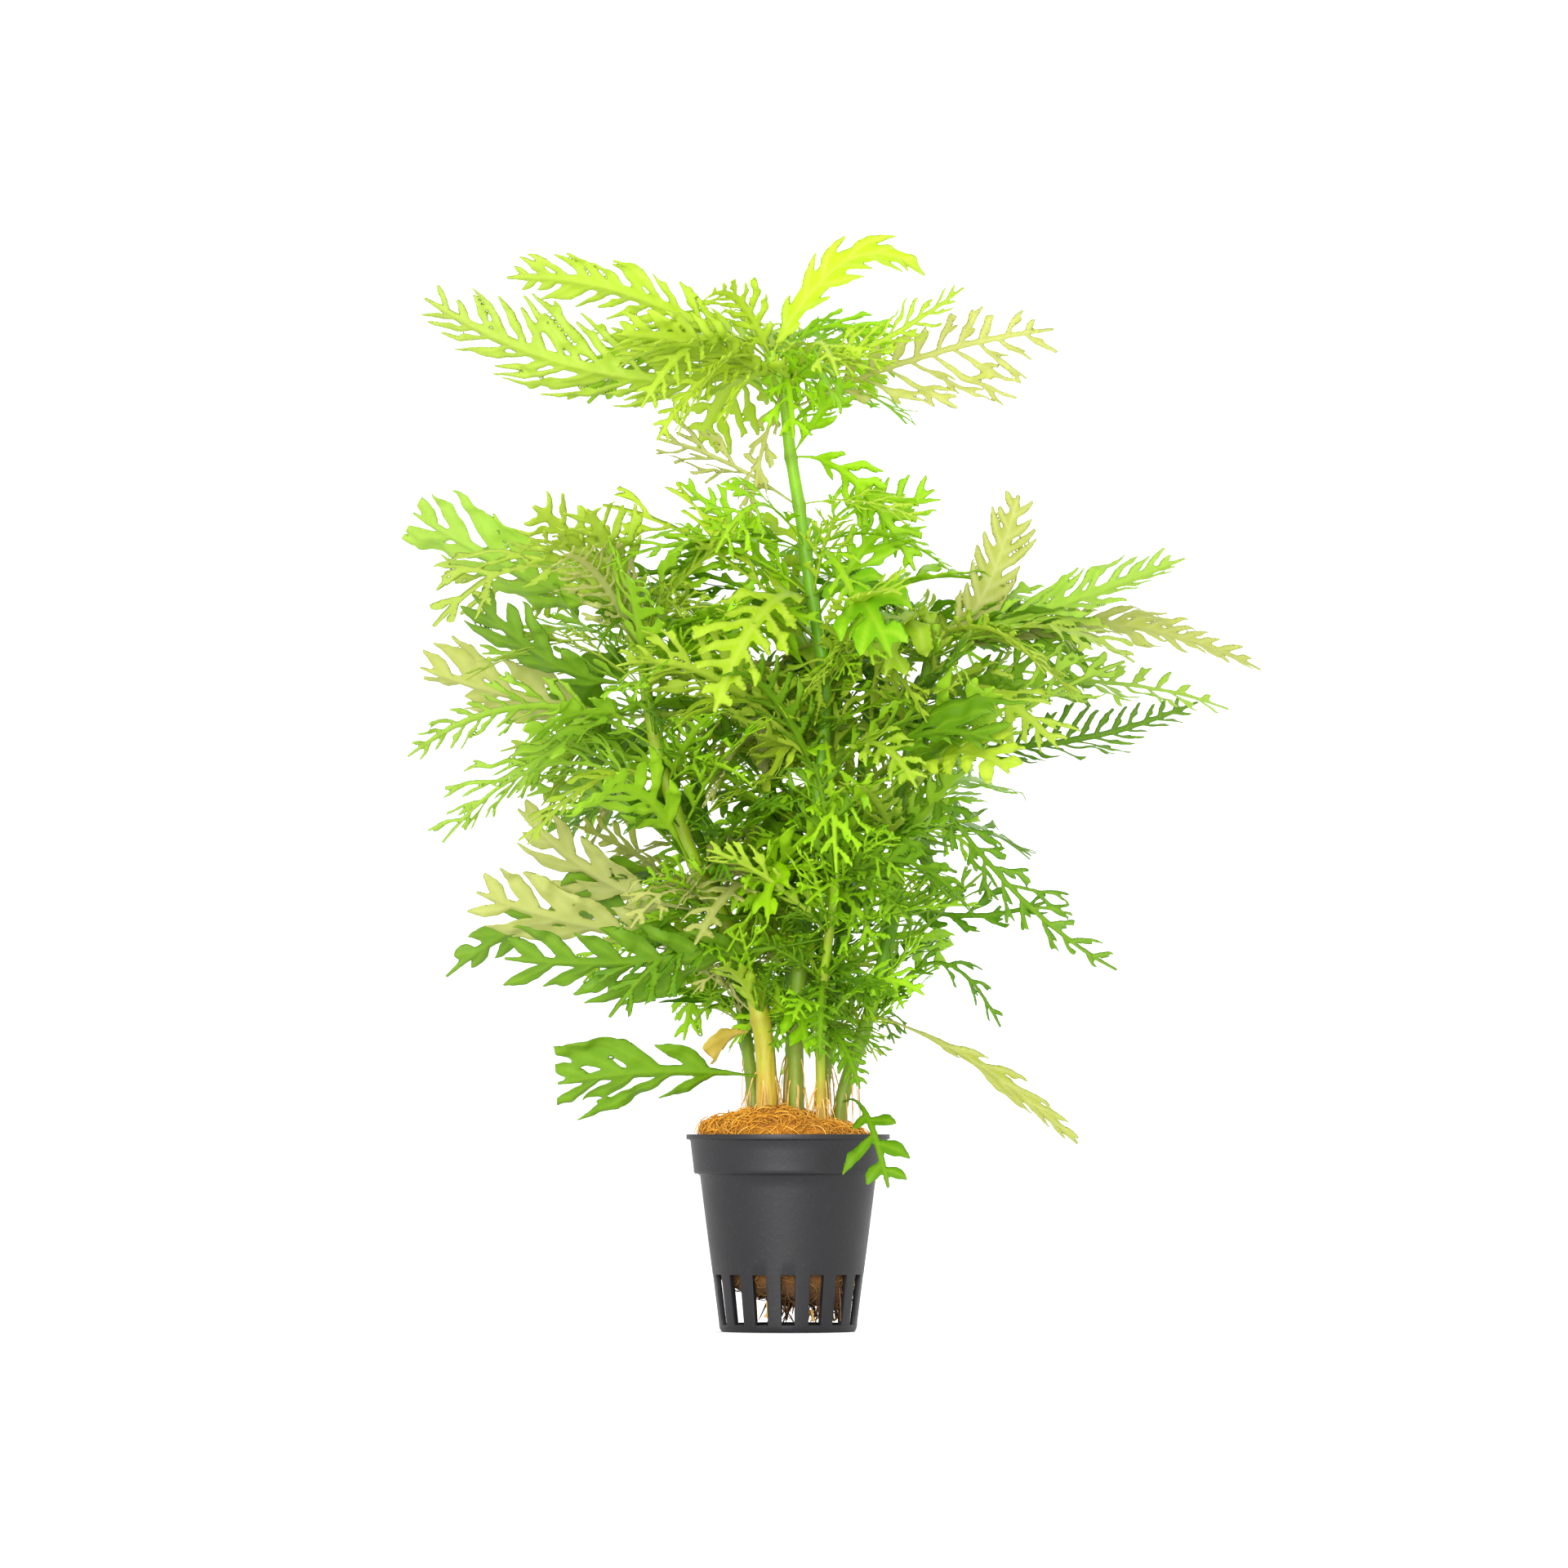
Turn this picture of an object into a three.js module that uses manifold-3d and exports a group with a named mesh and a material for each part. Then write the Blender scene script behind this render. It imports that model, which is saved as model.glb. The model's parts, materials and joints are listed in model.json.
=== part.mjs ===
// Potted water wisteria: a bunch of stems rooted in a fibre plug, standing in a slotted net pot.
// Millimetres, +Z up. The origin is the middle of the pot's underside, and the front faces -Y.
import * as THREE from "three";
import { mergeVertices } from "three/addons/utils/BufferGeometryUtils.js";
import Module from "manifold-3d";

const wasm = await Module();
wasm.setup();

// ---- driving dimensions -------------------------------------------------------------------

// Net pot
const POT_HEIGHT = 48;
const BASE_RADIUS = 16.7;
const BODY_TOP_RADIUS = 21.6;
const COLLAR_HEIGHT = 9.5;
const COLLAR_STEP = 1.4; // how far the collar stands out from the body
const COLLAR_FLARE = 0.9;
const RIM_RADIUS = 25;
const LIP_THICKNESS = 1;
const WALL = 1.2;
const FLOOR = 1.4;
const SLOT_COUNT = 16;
const SLOT_WIDTH = 3.2;
const SLOT_HEIGHT = 12.4;
const SLOT_SILL = 0.3; // plastic left between the floor and a slot
const BASE_SLOT_COUNT = 4;
const BASE_SLOT_WIDTH = 5.4;
const BASE_SLOT_LENGTH = 7.5;
const BASE_HUB_RADIUS = 5; // solid disc in the middle of the floor
const POT_SIDES = 64;

// Growing medium
const PLUG_BOTTOM = 8; // above the pot's underside, in the middle
const PLUG_TILT = 0.2; // the underside falls this much for each millimetre to the right
const PLUG_RIPPLE = 0.5;
const MOUND_HEIGHT = 6.5; // above the rim, in the middle
const MOUND_EDGE = 2; // above the rim, at the high left side
const MOUND_SLOPE = 4; // how much lower the right side lies than the left
const PLUG_SIDES = 28;

// Plant
const GROWTH = 1; // 1 is a plant about 190 mm above its medium and 205 mm across
const STEM_SIDES = 8;
const STEM_STEP = 7; // length of one facet along a stem
const RIB_THICKNESS = 1.1; // the midrib at a leaf's foot
const RIB_TIP_THICKNESS = 0.6;
const BLADE_THICKNESS = 0.36; // at the edge of a lobe
const FOOT_WIDTH = 1.4; // half the width of a leaf's stalk
const TIP_WIDTH = 1;
const LOBE_PAIRS = 6;
const LOBE_SWEEP = 0.75; // how far a lobe leans forward, in steps between lobes
const SINUS_DEPTH = 0.3; // width left between two lobes, against the lobe's own
const ROOT_RADIUS = 0.7;
const ROOT_INSET = 2.3; // from a hanging root's middle to the pot's wall
const ROOT_FLOOR_GAP = 1.2;

const GAP = 0.3; // between pieces that touch

// ---- materials ----------------------------------------------------------------------------

function material(colour, roughness) {
  return new THREE.MeshStandardMaterial({ color: colour, roughness, metalness: 0 });
}

const POT_PLASTIC = material(0x454446, 0.55);
const FIBRE = material(0xc27a1e, 0.95);
const ROOT = material(0xc9b28a, 0.8);
const STEM_GREEN = material(0x6f9a24, 0.5);
const STEM_TAN = material(0xa08a3a, 0.6);
const LEAF_LIME = material(0xa8cf20, 0.45);
const LEAF_GREEN = material(0x5fa812, 0.45);
const LEAF_DEEP = material(0x2e8a10, 0.45);
const LEAF_PALE = material(0xbccb9c, 0.5);
const LEAF_BROWN = material(0x9a6a22, 0.7);

// ---- solids -------------------------------------------------------------------------------

const welded = (geometry) => {
  const bare = geometry.clone();
  bare.deleteAttribute("normal");
  bare.deleteAttribute("uv");
  return mergeVertices(bare, 1e-4);
};

function solidOf(geometry) {
  const closed = welded(geometry);
  const mesh = new wasm.Mesh({
    numProp: 3,
    vertProperties: closed.attributes.position.array,
    triVerts: new Uint32Array(closed.index.array),
  });
  return new wasm.Manifold(mesh);
}

function geometryOf(solid) {
  const mesh = solid.getMesh();
  const geometry = new THREE.BufferGeometry();
  geometry.setAttribute("position", new THREE.BufferAttribute(mesh.vertProperties, 3));
  geometry.setIndex(new THREE.BufferAttribute(mesh.triVerts, 1));
  return geometry;
}

// Moves every vertex of a closed geometry to where place(vertex) says.
function reshaped(geometry, place) {
  const closed = welded(geometry);
  const position = closed.attributes.position;
  const vertex = new THREE.Vector3();
  for (let i = 0; i < position.count; i++) {
    const moved = place(vertex.fromBufferAttribute(position, i));
    position.setXYZ(i, moved.x, moved.y, moved.z);
  }
  return closed;
}

const plant = new THREE.Group();
const standing = []; // each solid already in place, with its box

function stand(name, geometry, finish) {
  const mesh = new THREE.Mesh(geometry, finish);
  mesh.name = name;
  plant.add(mesh);
  geometry.computeBoundingBox();
  standing.push({ solid: solidOf(geometry), box: geometry.boundingBox.clone() });
}

// Whether a shape keeps clear of everything that is already in place.
function isClear(geometry) {
  geometry.computeBoundingBox();
  const near = standing.filter((other) => other.box.intersectsBox(geometry.boundingBox));
  if (near.length === 0) return true;
  const solid = solidOf(geometry);
  return near.every((other) => solid.intersect(other.solid).isEmpty());
}

// ---- net pot ------------------------------------------------------------------------------

const COLLAR_BOTTOM = POT_HEIGHT - COLLAR_HEIGHT;
const COLLAR_RADIUS = BODY_TOP_RADIUS + COLLAR_STEP;

// Radius of the pot's inner face at a height.
function insideRadius(z) {
  if (z > COLLAR_BOTTOM) {
    const share = (z - COLLAR_BOTTOM) / COLLAR_HEIGHT;
    return COLLAR_RADIUS + COLLAR_FLARE * share - WALL;
  }
  return THREE.MathUtils.lerp(BASE_RADIUS, BODY_TOP_RADIUS, z / COLLAR_BOTTOM) - WALL;
}

function potShell() {
  const lip = POT_HEIGHT - LIP_THICKNESS;
  const step = COLLAR_BOTTOM + WALL; // the collar's ledge is a wall thick
  const outline = [
    [0, 0],
    [BASE_RADIUS, 0],
    [BODY_TOP_RADIUS, COLLAR_BOTTOM],
    [COLLAR_RADIUS, COLLAR_BOTTOM],
    [COLLAR_RADIUS + COLLAR_FLARE, lip],
    [RIM_RADIUS, lip],
    [RIM_RADIUS, POT_HEIGHT],
    [insideRadius(POT_HEIGHT), POT_HEIGHT],
    [insideRadius(step), step],
    [insideRadius(COLLAR_BOTTOM), step],
    [insideRadius(FLOOR), FLOOR],
    [0, FLOOR],
  ];
  const points = outline.map(([radius, z]) => new THREE.Vector2(radius, z));
  return new THREE.LatheGeometry(points, POT_SIDES).rotateX(Math.PI / 2);
}

function wallSlot(index) {
  const reach = BODY_TOP_RADIUS; // long enough to pass through the wall
  const turn = -Math.PI / 2 + (index * 2 * Math.PI) / SLOT_COUNT;
  return new THREE.BoxGeometry(reach, SLOT_WIDTH, SLOT_HEIGHT)
    .translate(BASE_HUB_RADIUS + reach / 2, 0, FLOOR + SLOT_SILL + SLOT_HEIGHT / 2)
    .rotateZ(turn);
}

function baseSlot(index) {
  return new THREE.BoxGeometry(BASE_SLOT_LENGTH, BASE_SLOT_WIDTH, 4 * FLOOR)
    .translate(BASE_HUB_RADIUS + BASE_SLOT_LENGTH / 2, 0, 0)
    .rotateZ((index * 2 * Math.PI) / BASE_SLOT_COUNT);
}

function netPot() {
  let pot = solidOf(potShell());
  for (let i = 0; i < SLOT_COUNT; i++) {
    pot = pot.subtract(solidOf(wallSlot(i)));
  }
  for (let i = 0; i < BASE_SLOT_COUNT; i++) {
    pot = pot.subtract(solidOf(baseSlot(i)));
  }
  return geometryOf(pot);
}

stand("net_pot", netPot(), POT_PLASTIC);

// ---- growing medium -----------------------------------------------------------------------

// Height of the mound at a place: a dome that lies lower towards the right.
function moundTop(x, y) {
  const inside = insideRadius(POT_HEIGHT);
  const share = Math.min(1, Math.hypot(x, y) / inside);
  const dome = THREE.MathUtils.lerp(MOUND_HEIGHT, MOUND_EDGE, share ** 2);
  const slope = (MOUND_SLOPE * Math.max(0, x)) / inside;
  return POT_HEIGHT + dome - slope;
}

// Height of the plug's ragged underside.
function plugUnderside(x, y) {
  const ripple = Math.sin(x / 3 + 1) + Math.cos(y / 3);
  return PLUG_BOTTOM - PLUG_TILT * x + PLUG_RIPPLE * ripple;
}

function plugOutline() {
  const side = (z) => insideRadius(z) - GAP;
  const step = COLLAR_BOTTOM + WALL;
  const belowCollar = COLLAR_BOTTOM - GAP;
  const lowest = PLUG_BOTTOM - PLUG_TILT * BASE_RADIUS - 2 * PLUG_RIPPLE;
  return [
    [0, PLUG_BOTTOM],
    [side(lowest) / 2, PLUG_BOTTOM],
    [side(lowest), PLUG_BOTTOM],
    [side(belowCollar), belowCollar],
    [side(belowCollar), step + GAP],
    [side(step + GAP), step + GAP],
    [side(POT_HEIGHT) - 1, POT_HEIGHT],
    [0.7 * side(POT_HEIGHT), POT_HEIGHT],
    [0.35 * side(POT_HEIGHT), POT_HEIGHT],
    [0, POT_HEIGHT],
  ];
}

function growingMedium() {
  const points = plugOutline().map(([radius, z]) => new THREE.Vector2(radius, z));
  const lathe = new THREE.LatheGeometry(points, PLUG_SIDES).rotateX(Math.PI / 2);
  return reshaped(lathe, (v) => {
    if (v.z > POT_HEIGHT - GAP) return v.setZ(moundTop(v.x, v.y));
    if (v.z < PLUG_BOTTOM + GAP) return v.setZ(plugUnderside(v.x, v.y));
    return v;
  });
}

stand("growing_medium", growingMedium(), FIBRE);

// ---- hanging roots ------------------------------------------------------------------------

// A solid of round section that follows a curve; radius(share) gives its size along the way.
function taperedTube(curve, steps, radius) {
  const frames = curve.computeFrenetFrames(steps, false);
  const rod = new THREE.CylinderGeometry(1, 1, 1, STEM_SIDES, steps);
  return reshaped(rod, (v) => {
    const share = v.y + 0.5;
    const index = Math.round(share * steps);
    const size = radius(share);
    return curve
      .getPointAt(share)
      .addScaledVector(frames.normals[index], v.z * size)
      .addScaledVector(frames.binormals[index], v.x * size);
  });
}

// Bearings are in degrees: 0 is to the right, 90 to the back, 180 to the left.
function bearingVector(bearing) {
  const turn = THREE.MathUtils.degToRad(bearing);
  return new THREE.Vector3(Math.cos(turn), Math.sin(turn), 0);
}

function hangingRoot(bearing, sway) {
  const out = bearingVector(bearing).multiplyScalar(insideRadius(FLOOR) - ROOT_INSET);
  const along = bearingVector(bearing + 90);
  const top = plugUnderside(out.x, out.y) - GAP - ROOT_RADIUS;
  const foot = FLOOR + ROOT_FLOOR_GAP;
  const heights = [top, (2 * top + foot) / 3, (top + 2 * foot) / 3, foot];
  const points = heights.map((z, i) => out.clone().addScaledVector(along, i * sway).setZ(z));
  return taperedTube(new THREE.CatmullRomCurve3(points), 6, (s) => ROOT_RADIUS * (1 - 0.35 * s));
}

const ROOTS = [
  ["root_front_left", 248, 0.5],
  ["root_front_right", 302, -0.6],
  ["root_right", 28, -0.4],
];
for (const [name, bearing, sway] of ROOTS) {
  stand(name, hangingRoot(bearing, sway), ROOT);
}

// ---- stems --------------------------------------------------------------------------------

// A stem's course is [right, back, up] from the middle of the medium's top, at GROWTH 1.
const SOIL = POT_HEIGHT + MOUND_HEIGHT;
const STEMS = {
  main: {
    foot: 2.2,
    top: 1.5,
    finish: STEM_GREEN,
    course: [
      [2, -2, 1], [2, -2, 24], [7, -4, 72], [9, -4, 106], [6, -3, 124],
      [3, -3, 146], [0, -3, 164], [-1, -2, 177], [-6, -2, 186],
    ],
  },
  right: {
    foot: 2.0,
    top: 1.3,
    finish: STEM_GREEN,
    course: [
      [12, 0, 0], [15, 0, 9], [18, 0, 17], [21, 1, 27], [24, 2, 39],
      [27, 4, 52], [27, 5, 71], [31, 6, 94], [37, 6, 120],
    ],
  },
  left: {
    foot: 3.0,
    top: 1.3,
    finish: STEM_TAN,
    course: [[-5, -2, 1], [-6, -2, 18], [-10, -3, 34], [-23, -5, 60], [-33, -7, 92], [-37, -8, 122]],
  },
  front: {
    foot: 1.4,
    top: 1.1,
    finish: STEM_TAN,
    course: [[8, -8, 0], [8, -10, 24], [10, -13, 42], [12, -17, 60]],
  },
  middle: {
    foot: 1.7,
    top: 1.2,
    finish: STEM_GREEN,
    course: [[0, 6, 1], [1, 8, 26], [-3, 11, 72], [-13, 15, 112]],
  },
  back_right: {
    foot: 1.8,
    top: 1.2,
    finish: STEM_GREEN,
    course: [[8, 8, 0], [11, 15, 26], [17, 29, 70], [21, 38, 112]],
  },
  back_left: {
    foot: 1.8,
    top: 1.2,
    finish: STEM_GREEN,
    course: [[-8, 7, 0], [-12, 14, 28], [-20, 27, 68], [-26, 38, 104]],
  },
};

function stemCurve(course) {
  const points = course.map(([x, y, z]) => new THREE.Vector3(x, y, z).multiplyScalar(GROWTH));
  points[0].set(course[0][0], course[0][1], 0);
  const foot = moundTop(points[0].x, points[0].y) - SOIL + 2 * GAP;
  points[0].z = foot;
  points.forEach((point) => (point.z += SOIL));
  return new THREE.CatmullRomCurve3(points);
}

for (const [name, stem] of Object.entries(STEMS)) {
  stem.curve = stemCurve(stem.course);
  stem.radius = (share) => THREE.MathUtils.lerp(stem.foot, stem.top, share ** 0.7);
  const steps = Math.ceil(stem.curve.getLength() / (STEM_STEP * GROWTH));
  stand("stem_" + name, taperedTube(stem.curve, steps, stem.radius), stem.finish);
}

// Where a stem is at a height above the medium, how thick it is there and which way it runs.
function stemAt(stem, height) {
  let low = 0;
  let high = 1;
  for (let i = 0; i < 24; i++) {
    const middle = (low + high) / 2;
    if (stem.curve.getPointAt(middle).z < SOIL + height * GROWTH) low = middle;
    else high = middle;
  }
  return {
    centre: stem.curve.getPointAt(low),
    radius: stem.radius(low),
    along: stem.curve.getTangentAt(low),
  };
}

// ---- leaves -------------------------------------------------------------------------------

// A leaf grows from a stem at a height above the medium, towards a bearing. Reach and rise run
// from its foot to its tip, arch is how far its middle stands over the straight line between
// them, width is half its breadth, and roll turns the blade about its midrib.
// [name, stem, height, bearing, reach, rise, arch, width, roll, finish]
const LEAVES = [
  ["crown_long_left", "main", 182, 187, 84, 17, -9, 15, 60, LEAF_LIME],
  ["crown_high_left", "main", 185, 167, 63, 22, 6, 11, 55, LEAF_LIME],
  ["crown_short_left", "main", 184, 207, 42, 7, 2, 11, 50, LEAF_LIME],
  ["crown_arching", "main", 185, 14, 38, 19, 13, 7, 60, LEAF_LIME],
  ["crown_right", "main", 179, -18, 45, 20, -3, 10, 50, LEAF_LIME],
  ["crown_pale_right", "main", 172, 9, 64, 20, 3, 12, 65, LEAF_PALE],
  ["crown_back", "main", 182, 96, 56, 12, 6, 12, 25, LEAF_LIME],
  ["crown_back_right", "main", 168, 58, 54, 4, 8, 12, 30, LEAF_GREEN],
  ["crown_hanging", "main", 178, -84, 24, -16, 6, 8, 0, LEAF_GREEN],
  ["crown_white", "main", 176, -132, 11, -30, 4, 5, 0, LEAF_PALE],
  ["fine_left", "main", 150, 172, 32, 15, 2, 9, 45, LEAF_PALE],
  ["waist_up_left", "main", 122, 160, 32, 33, 3, 8, 60, LEAF_GREEN],
  ["waist_up_right", "main", 123, 22, 29, 29, 4, 9, 60, LEAF_GREEN],
  ["waist_front", "main", 108, -72, 56, 14, 7, 12, 30, LEAF_LIME],
  ["waist_back", "main", 106, 104, 58, 12, 8, 12, 25, LEAF_GREEN],
  ["middle_front_left", "main", 84, 216, 58, 22, 9, 12, 45, LEAF_LIME],
  ["middle_front_right", "main", 76, -38, 52, 12, 8, 12, 40, LEAF_DEEP],
  ["high_left", "left", 120, 176, 53, 26, -2, 12, 50, LEAF_GREEN],
  ["high_left_inner", "left", 119, 12, 30, 24, 5, 9, 55, LEAF_GREEN],
  ["high_left_front", "left", 112, 250, 50, 20, 6, 11, 40, LEAF_PALE],
  ["curled_left", "left", 104, 193, 41, 21, -6, 9, 40, LEAF_DEEP],
  ["pale_left", "left", 94, 165, 58, 13, -2, 11, 55, LEAF_PALE],
  ["sweeping_left", "left", 91, 192, 58, -5, 10, 10, 50, LEAF_GREEN],
  ["falling_left", "left", 76, 174, 53, -10, 14, 10, 45, LEAF_GREEN],
  ["khaki_upper", "left", 50, 171, 46, 25, -6, 10, 60, LEAF_PALE],
  ["khaki_lower", "left", 43, 192, 60, 11, -3, 10, 55, LEAF_PALE],
  ["bowed_left", "left", 36, 166, 74, -2, 15, 7, 45, LEAF_DEEP],
  ["left_front", "left", 62, 248, 56, 12, 8, 12, 35, LEAF_GREEN],
  ["bottom_left", "left", 8, 194, 49, -2, 2, 13, 60, LEAF_DEEP],
  ["old_leaf", "left", 17, 214, 11, -9, 4, 5, 50, LEAF_BROWN],
  ["upright_right", "right", 118, 20, 20, 34, -9, 9, 70, LEAF_PALE],
  ["high_right", "right", 115, -6, 60, 20, -1, 11, 45, LEAF_GREEN],
  ["far_right", "right", 117, 8, 80, -4, 9, 9, 40, LEAF_PALE],
  ["far_right_lower", "right", 98, 19, 80, 2, 7, 9, 40, LEAF_GREEN],
  ["bright_right", "right", 106, -35, 37, -18, 5, 11, 45, LEAF_LIME],
  ["dark_right", "right", 90, 25, 78, 12, -5, 10, 45, LEAF_DEEP],
  ["trailing_right", "right", 84, -22, 52, -50, -6, 7, 50, LEAF_DEEP],
  ["right_front", "right", 74, -68, 56, 6, 9, 12, 35, LEAF_LIME],
  ["right_back", "right", 66, 62, 54, 14, 8, 12, 35, LEAF_GREEN],
  ["thin_right", "right", 50, -8, 35, 1, -3, 7, 60, LEAF_DEEP],
  ["hooked_right", "right", 28, 12, 28, -7, 12, 6, 60, LEAF_DEEP],
  ["trailing_low_right", "right", 23, -6, 49, -31, 4, 6, 50, LEAF_PALE],
  ["over_rim", "right", 2, -76, 33, -21, 7, 8, 25, LEAF_DEEP],
  ["broad_lower_left", "front", 41, 191, 78, -5, -3, 14, 55, LEAF_DEEP],
  ["lance", "middle", 78, 250, 9, 32, -2, 5, 10, LEAF_PALE],
  ["back_up", "back_right", 108, 84, 38, 26, 6, 12, 35, LEAF_GREEN],
  ["back_low", "back_right", 64, 40, 56, 0, 9, 12, 30, LEAF_DEEP],
  ["back_left_low", "back_left", 66, 138, 54, 4, 9, 12, 35, LEAF_DEEP],
];

// The line of a leaf's midrib. The foot stands off its stem by the gap and by what the foot's
// own corner reaches back where the leaf leaves at a slant.
function midrib(root, bearing, reach, rise, arch, roll) {
  const away = bearingVector(bearing);
  const outward = away.clone().addScaledVector(root.along, -away.dot(root.along)).normalize();
  const leaving = away.clone().multiplyScalar(reach).setZ(rise + 4 * arch).normalize();
  const slant = Math.sqrt(1 - leaving.dot(outward) ** 2);
  const corner = FOOT_WIDTH * Math.sin(THREE.MathUtils.degToRad(roll)) + RIB_THICKNESS / 2;
  const standOff = root.radius + GAP + slant * corner;
  const foot = root.centre.clone().addScaledVector(outward, standOff);
  const tip = foot.clone().addScaledVector(away, reach * GROWTH);
  tip.z += rise * GROWTH;
  const crest = foot.clone().lerp(tip, 0.5);
  crest.z += 2 * arch * GROWTH;
  return new THREE.QuadraticBezierCurve3(foot, crest, tip);
}

// Half the breadth of a blade at a share of its length: a bare stalk, then lobes that are
// longest a little before the middle.
function bladeWidth(share, width, isLobe) {
  const outline = Math.sin(Math.PI * share ** 0.8) ** 0.7;
  return Math.max(FOOT_WIDTH, width * outline * (isLobe ? 1 : SINUS_DEPTH));
}

// One leaf as a closed blade: a ribbon two cells broad with its edge drawn out into lobes.
// Spare is added all round it, for testing what room it has.
function leafBlade(curve, width, roll, spare = 0) {
  const steps = 2 * LOBE_PAIRS + 2;
  const turn = THREE.MathUtils.degToRad(roll);
  const away = curve.v2.clone().sub(curve.v0).setZ(0).normalize();
  const side = new THREE.Vector3(-away.y, away.x, 0);
  const ribbon = new THREE.BoxGeometry(1, 2, 1, steps, 2, 1);
  return reshaped(ribbon, (v) => {
    const step = Math.round((v.x + 0.5) * steps);
    const share = step / steps;
    const along = curve.getTangentAt(share);
    const up = along.clone().cross(side);
    const across = side.clone().applyAxisAngle(along, turn);
    const face = up.applyAxisAngle(along, turn);
    const onRib = Math.abs(v.y) < 0.5;
    const isLobe = step % 2 === 1 && step > 1;
    const breadth = step === steps ? TIP_WIDTH : bladeWidth(share, width * GROWTH, isLobe);
    const rib = THREE.MathUtils.lerp(RIB_THICKNESS, RIB_TIP_THICKNESS, share);
    const thickness = (onRib ? rib : BLADE_THICKNESS) + 2 * spare;
    const sweep = isLobe && !onRib ? (LOBE_SWEEP * curve.getLength()) / steps : 0;
    const end = step === steps ? spare : 0;
    return curve
      .getPointAt(share)
      .addScaledVector(along, sweep + end)
      .addScaledVector(across, Math.sign(v.y) * (onRib ? 0 : breadth + spare))
      .addScaledVector(face, v.z * thickness);
  });
}

// A leaf that would pass through another turns aside, lifts or grows a little higher up or
// lower down its stem, by the smallest change that clears it.
const TURNS = [0, 4, -4, 8, -8, 13, -13, 19, -19, 26, -26];
const LIFTS = [0, 4, -4, 9, -9];
const SHIFTS = [0, 2, -2, 4, -4, 7, -7, 11, -11];
const CHANGES = SHIFTS.flatMap((shift) =>
  LIFTS.flatMap((lift) => TURNS.map((turn) => ({ shift, lift, turn }))),
);
const size = ({ shift, lift, turn }) => Math.hypot(2 * shift, 1.5 * lift, turn);
CHANGES.sort((a, b) => size(a) - size(b));

function addLeaf([name, stem, height, bearing, reach, rise, arch, width, roll, finish]) {
  for (const { shift, lift, turn } of CHANGES) {
    const root = stemAt(STEMS[stem], height + shift);
    const curve = midrib(root, bearing + turn, reach, rise + lift, arch, roll);
    if (isClear(leafBlade(curve, width, roll, GAP / 2))) {
      stand("leaf_" + name, leafBlade(curve, width, roll), finish);
      return;
    }
  }
  throw new Error("no room for leaf_" + name);
}

for (const leaf of LEAVES) {
  addLeaf(leaf);
}

export default plant;
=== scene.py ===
import json
import math
import random

import bmesh
import bpy
import numpy as np
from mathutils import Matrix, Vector
from mathutils.kdtree import KDTree


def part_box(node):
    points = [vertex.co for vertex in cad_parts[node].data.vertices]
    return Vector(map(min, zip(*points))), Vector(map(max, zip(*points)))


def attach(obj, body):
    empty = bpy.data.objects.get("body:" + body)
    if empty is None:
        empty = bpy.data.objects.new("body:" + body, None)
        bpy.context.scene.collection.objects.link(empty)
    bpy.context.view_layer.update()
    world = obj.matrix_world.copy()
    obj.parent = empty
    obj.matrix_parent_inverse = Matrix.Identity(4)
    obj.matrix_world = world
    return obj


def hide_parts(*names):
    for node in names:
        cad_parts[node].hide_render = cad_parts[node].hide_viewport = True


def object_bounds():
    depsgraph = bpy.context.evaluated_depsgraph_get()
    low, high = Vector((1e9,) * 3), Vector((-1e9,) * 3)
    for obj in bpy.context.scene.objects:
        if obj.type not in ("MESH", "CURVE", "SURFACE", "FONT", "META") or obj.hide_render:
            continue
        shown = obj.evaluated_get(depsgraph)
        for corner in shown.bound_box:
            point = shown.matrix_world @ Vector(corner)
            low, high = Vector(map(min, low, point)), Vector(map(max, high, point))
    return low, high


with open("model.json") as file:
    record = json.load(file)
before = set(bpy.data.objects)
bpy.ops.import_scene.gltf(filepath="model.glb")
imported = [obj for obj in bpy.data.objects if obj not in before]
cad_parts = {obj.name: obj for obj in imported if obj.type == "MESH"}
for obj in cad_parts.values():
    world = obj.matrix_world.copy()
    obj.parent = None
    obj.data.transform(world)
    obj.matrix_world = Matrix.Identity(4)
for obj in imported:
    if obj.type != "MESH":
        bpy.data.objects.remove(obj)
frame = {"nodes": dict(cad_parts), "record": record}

cad_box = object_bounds()


# ---- camera ----
# A long lens a little above the height of the pot's middle, turned up to take in the plant, so
# that the rim and the base both read as straight lines.
VIEW_DISTANCE = 2.1
EYE_HEIGHT = 0.045
FRAME_WIDTH = 0.384
FRAME_MIDDLE = Vector((-0.001, 0.0, 0.134))

lens = bpy.data.cameras.new("camera")
lens.sensor_width = 36
lens.lens = lens.sensor_width * VIEW_DISTANCE / FRAME_WIDTH
lens.clip_end = 50
camera = bpy.data.objects.new("camera", lens)
camera.location = (FRAME_MIDDLE.x, -VIEW_DISTANCE, EYE_HEIGHT)
camera.rotation_euler = (FRAME_MIDDLE - camera.location).to_track_quat("-Z", "Y").to_euler()
bpy.context.scene.collection.objects.link(camera)
bpy.context.scene.camera = camera
bpy.context.scene.view_settings.view_transform = "Standard"


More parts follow.
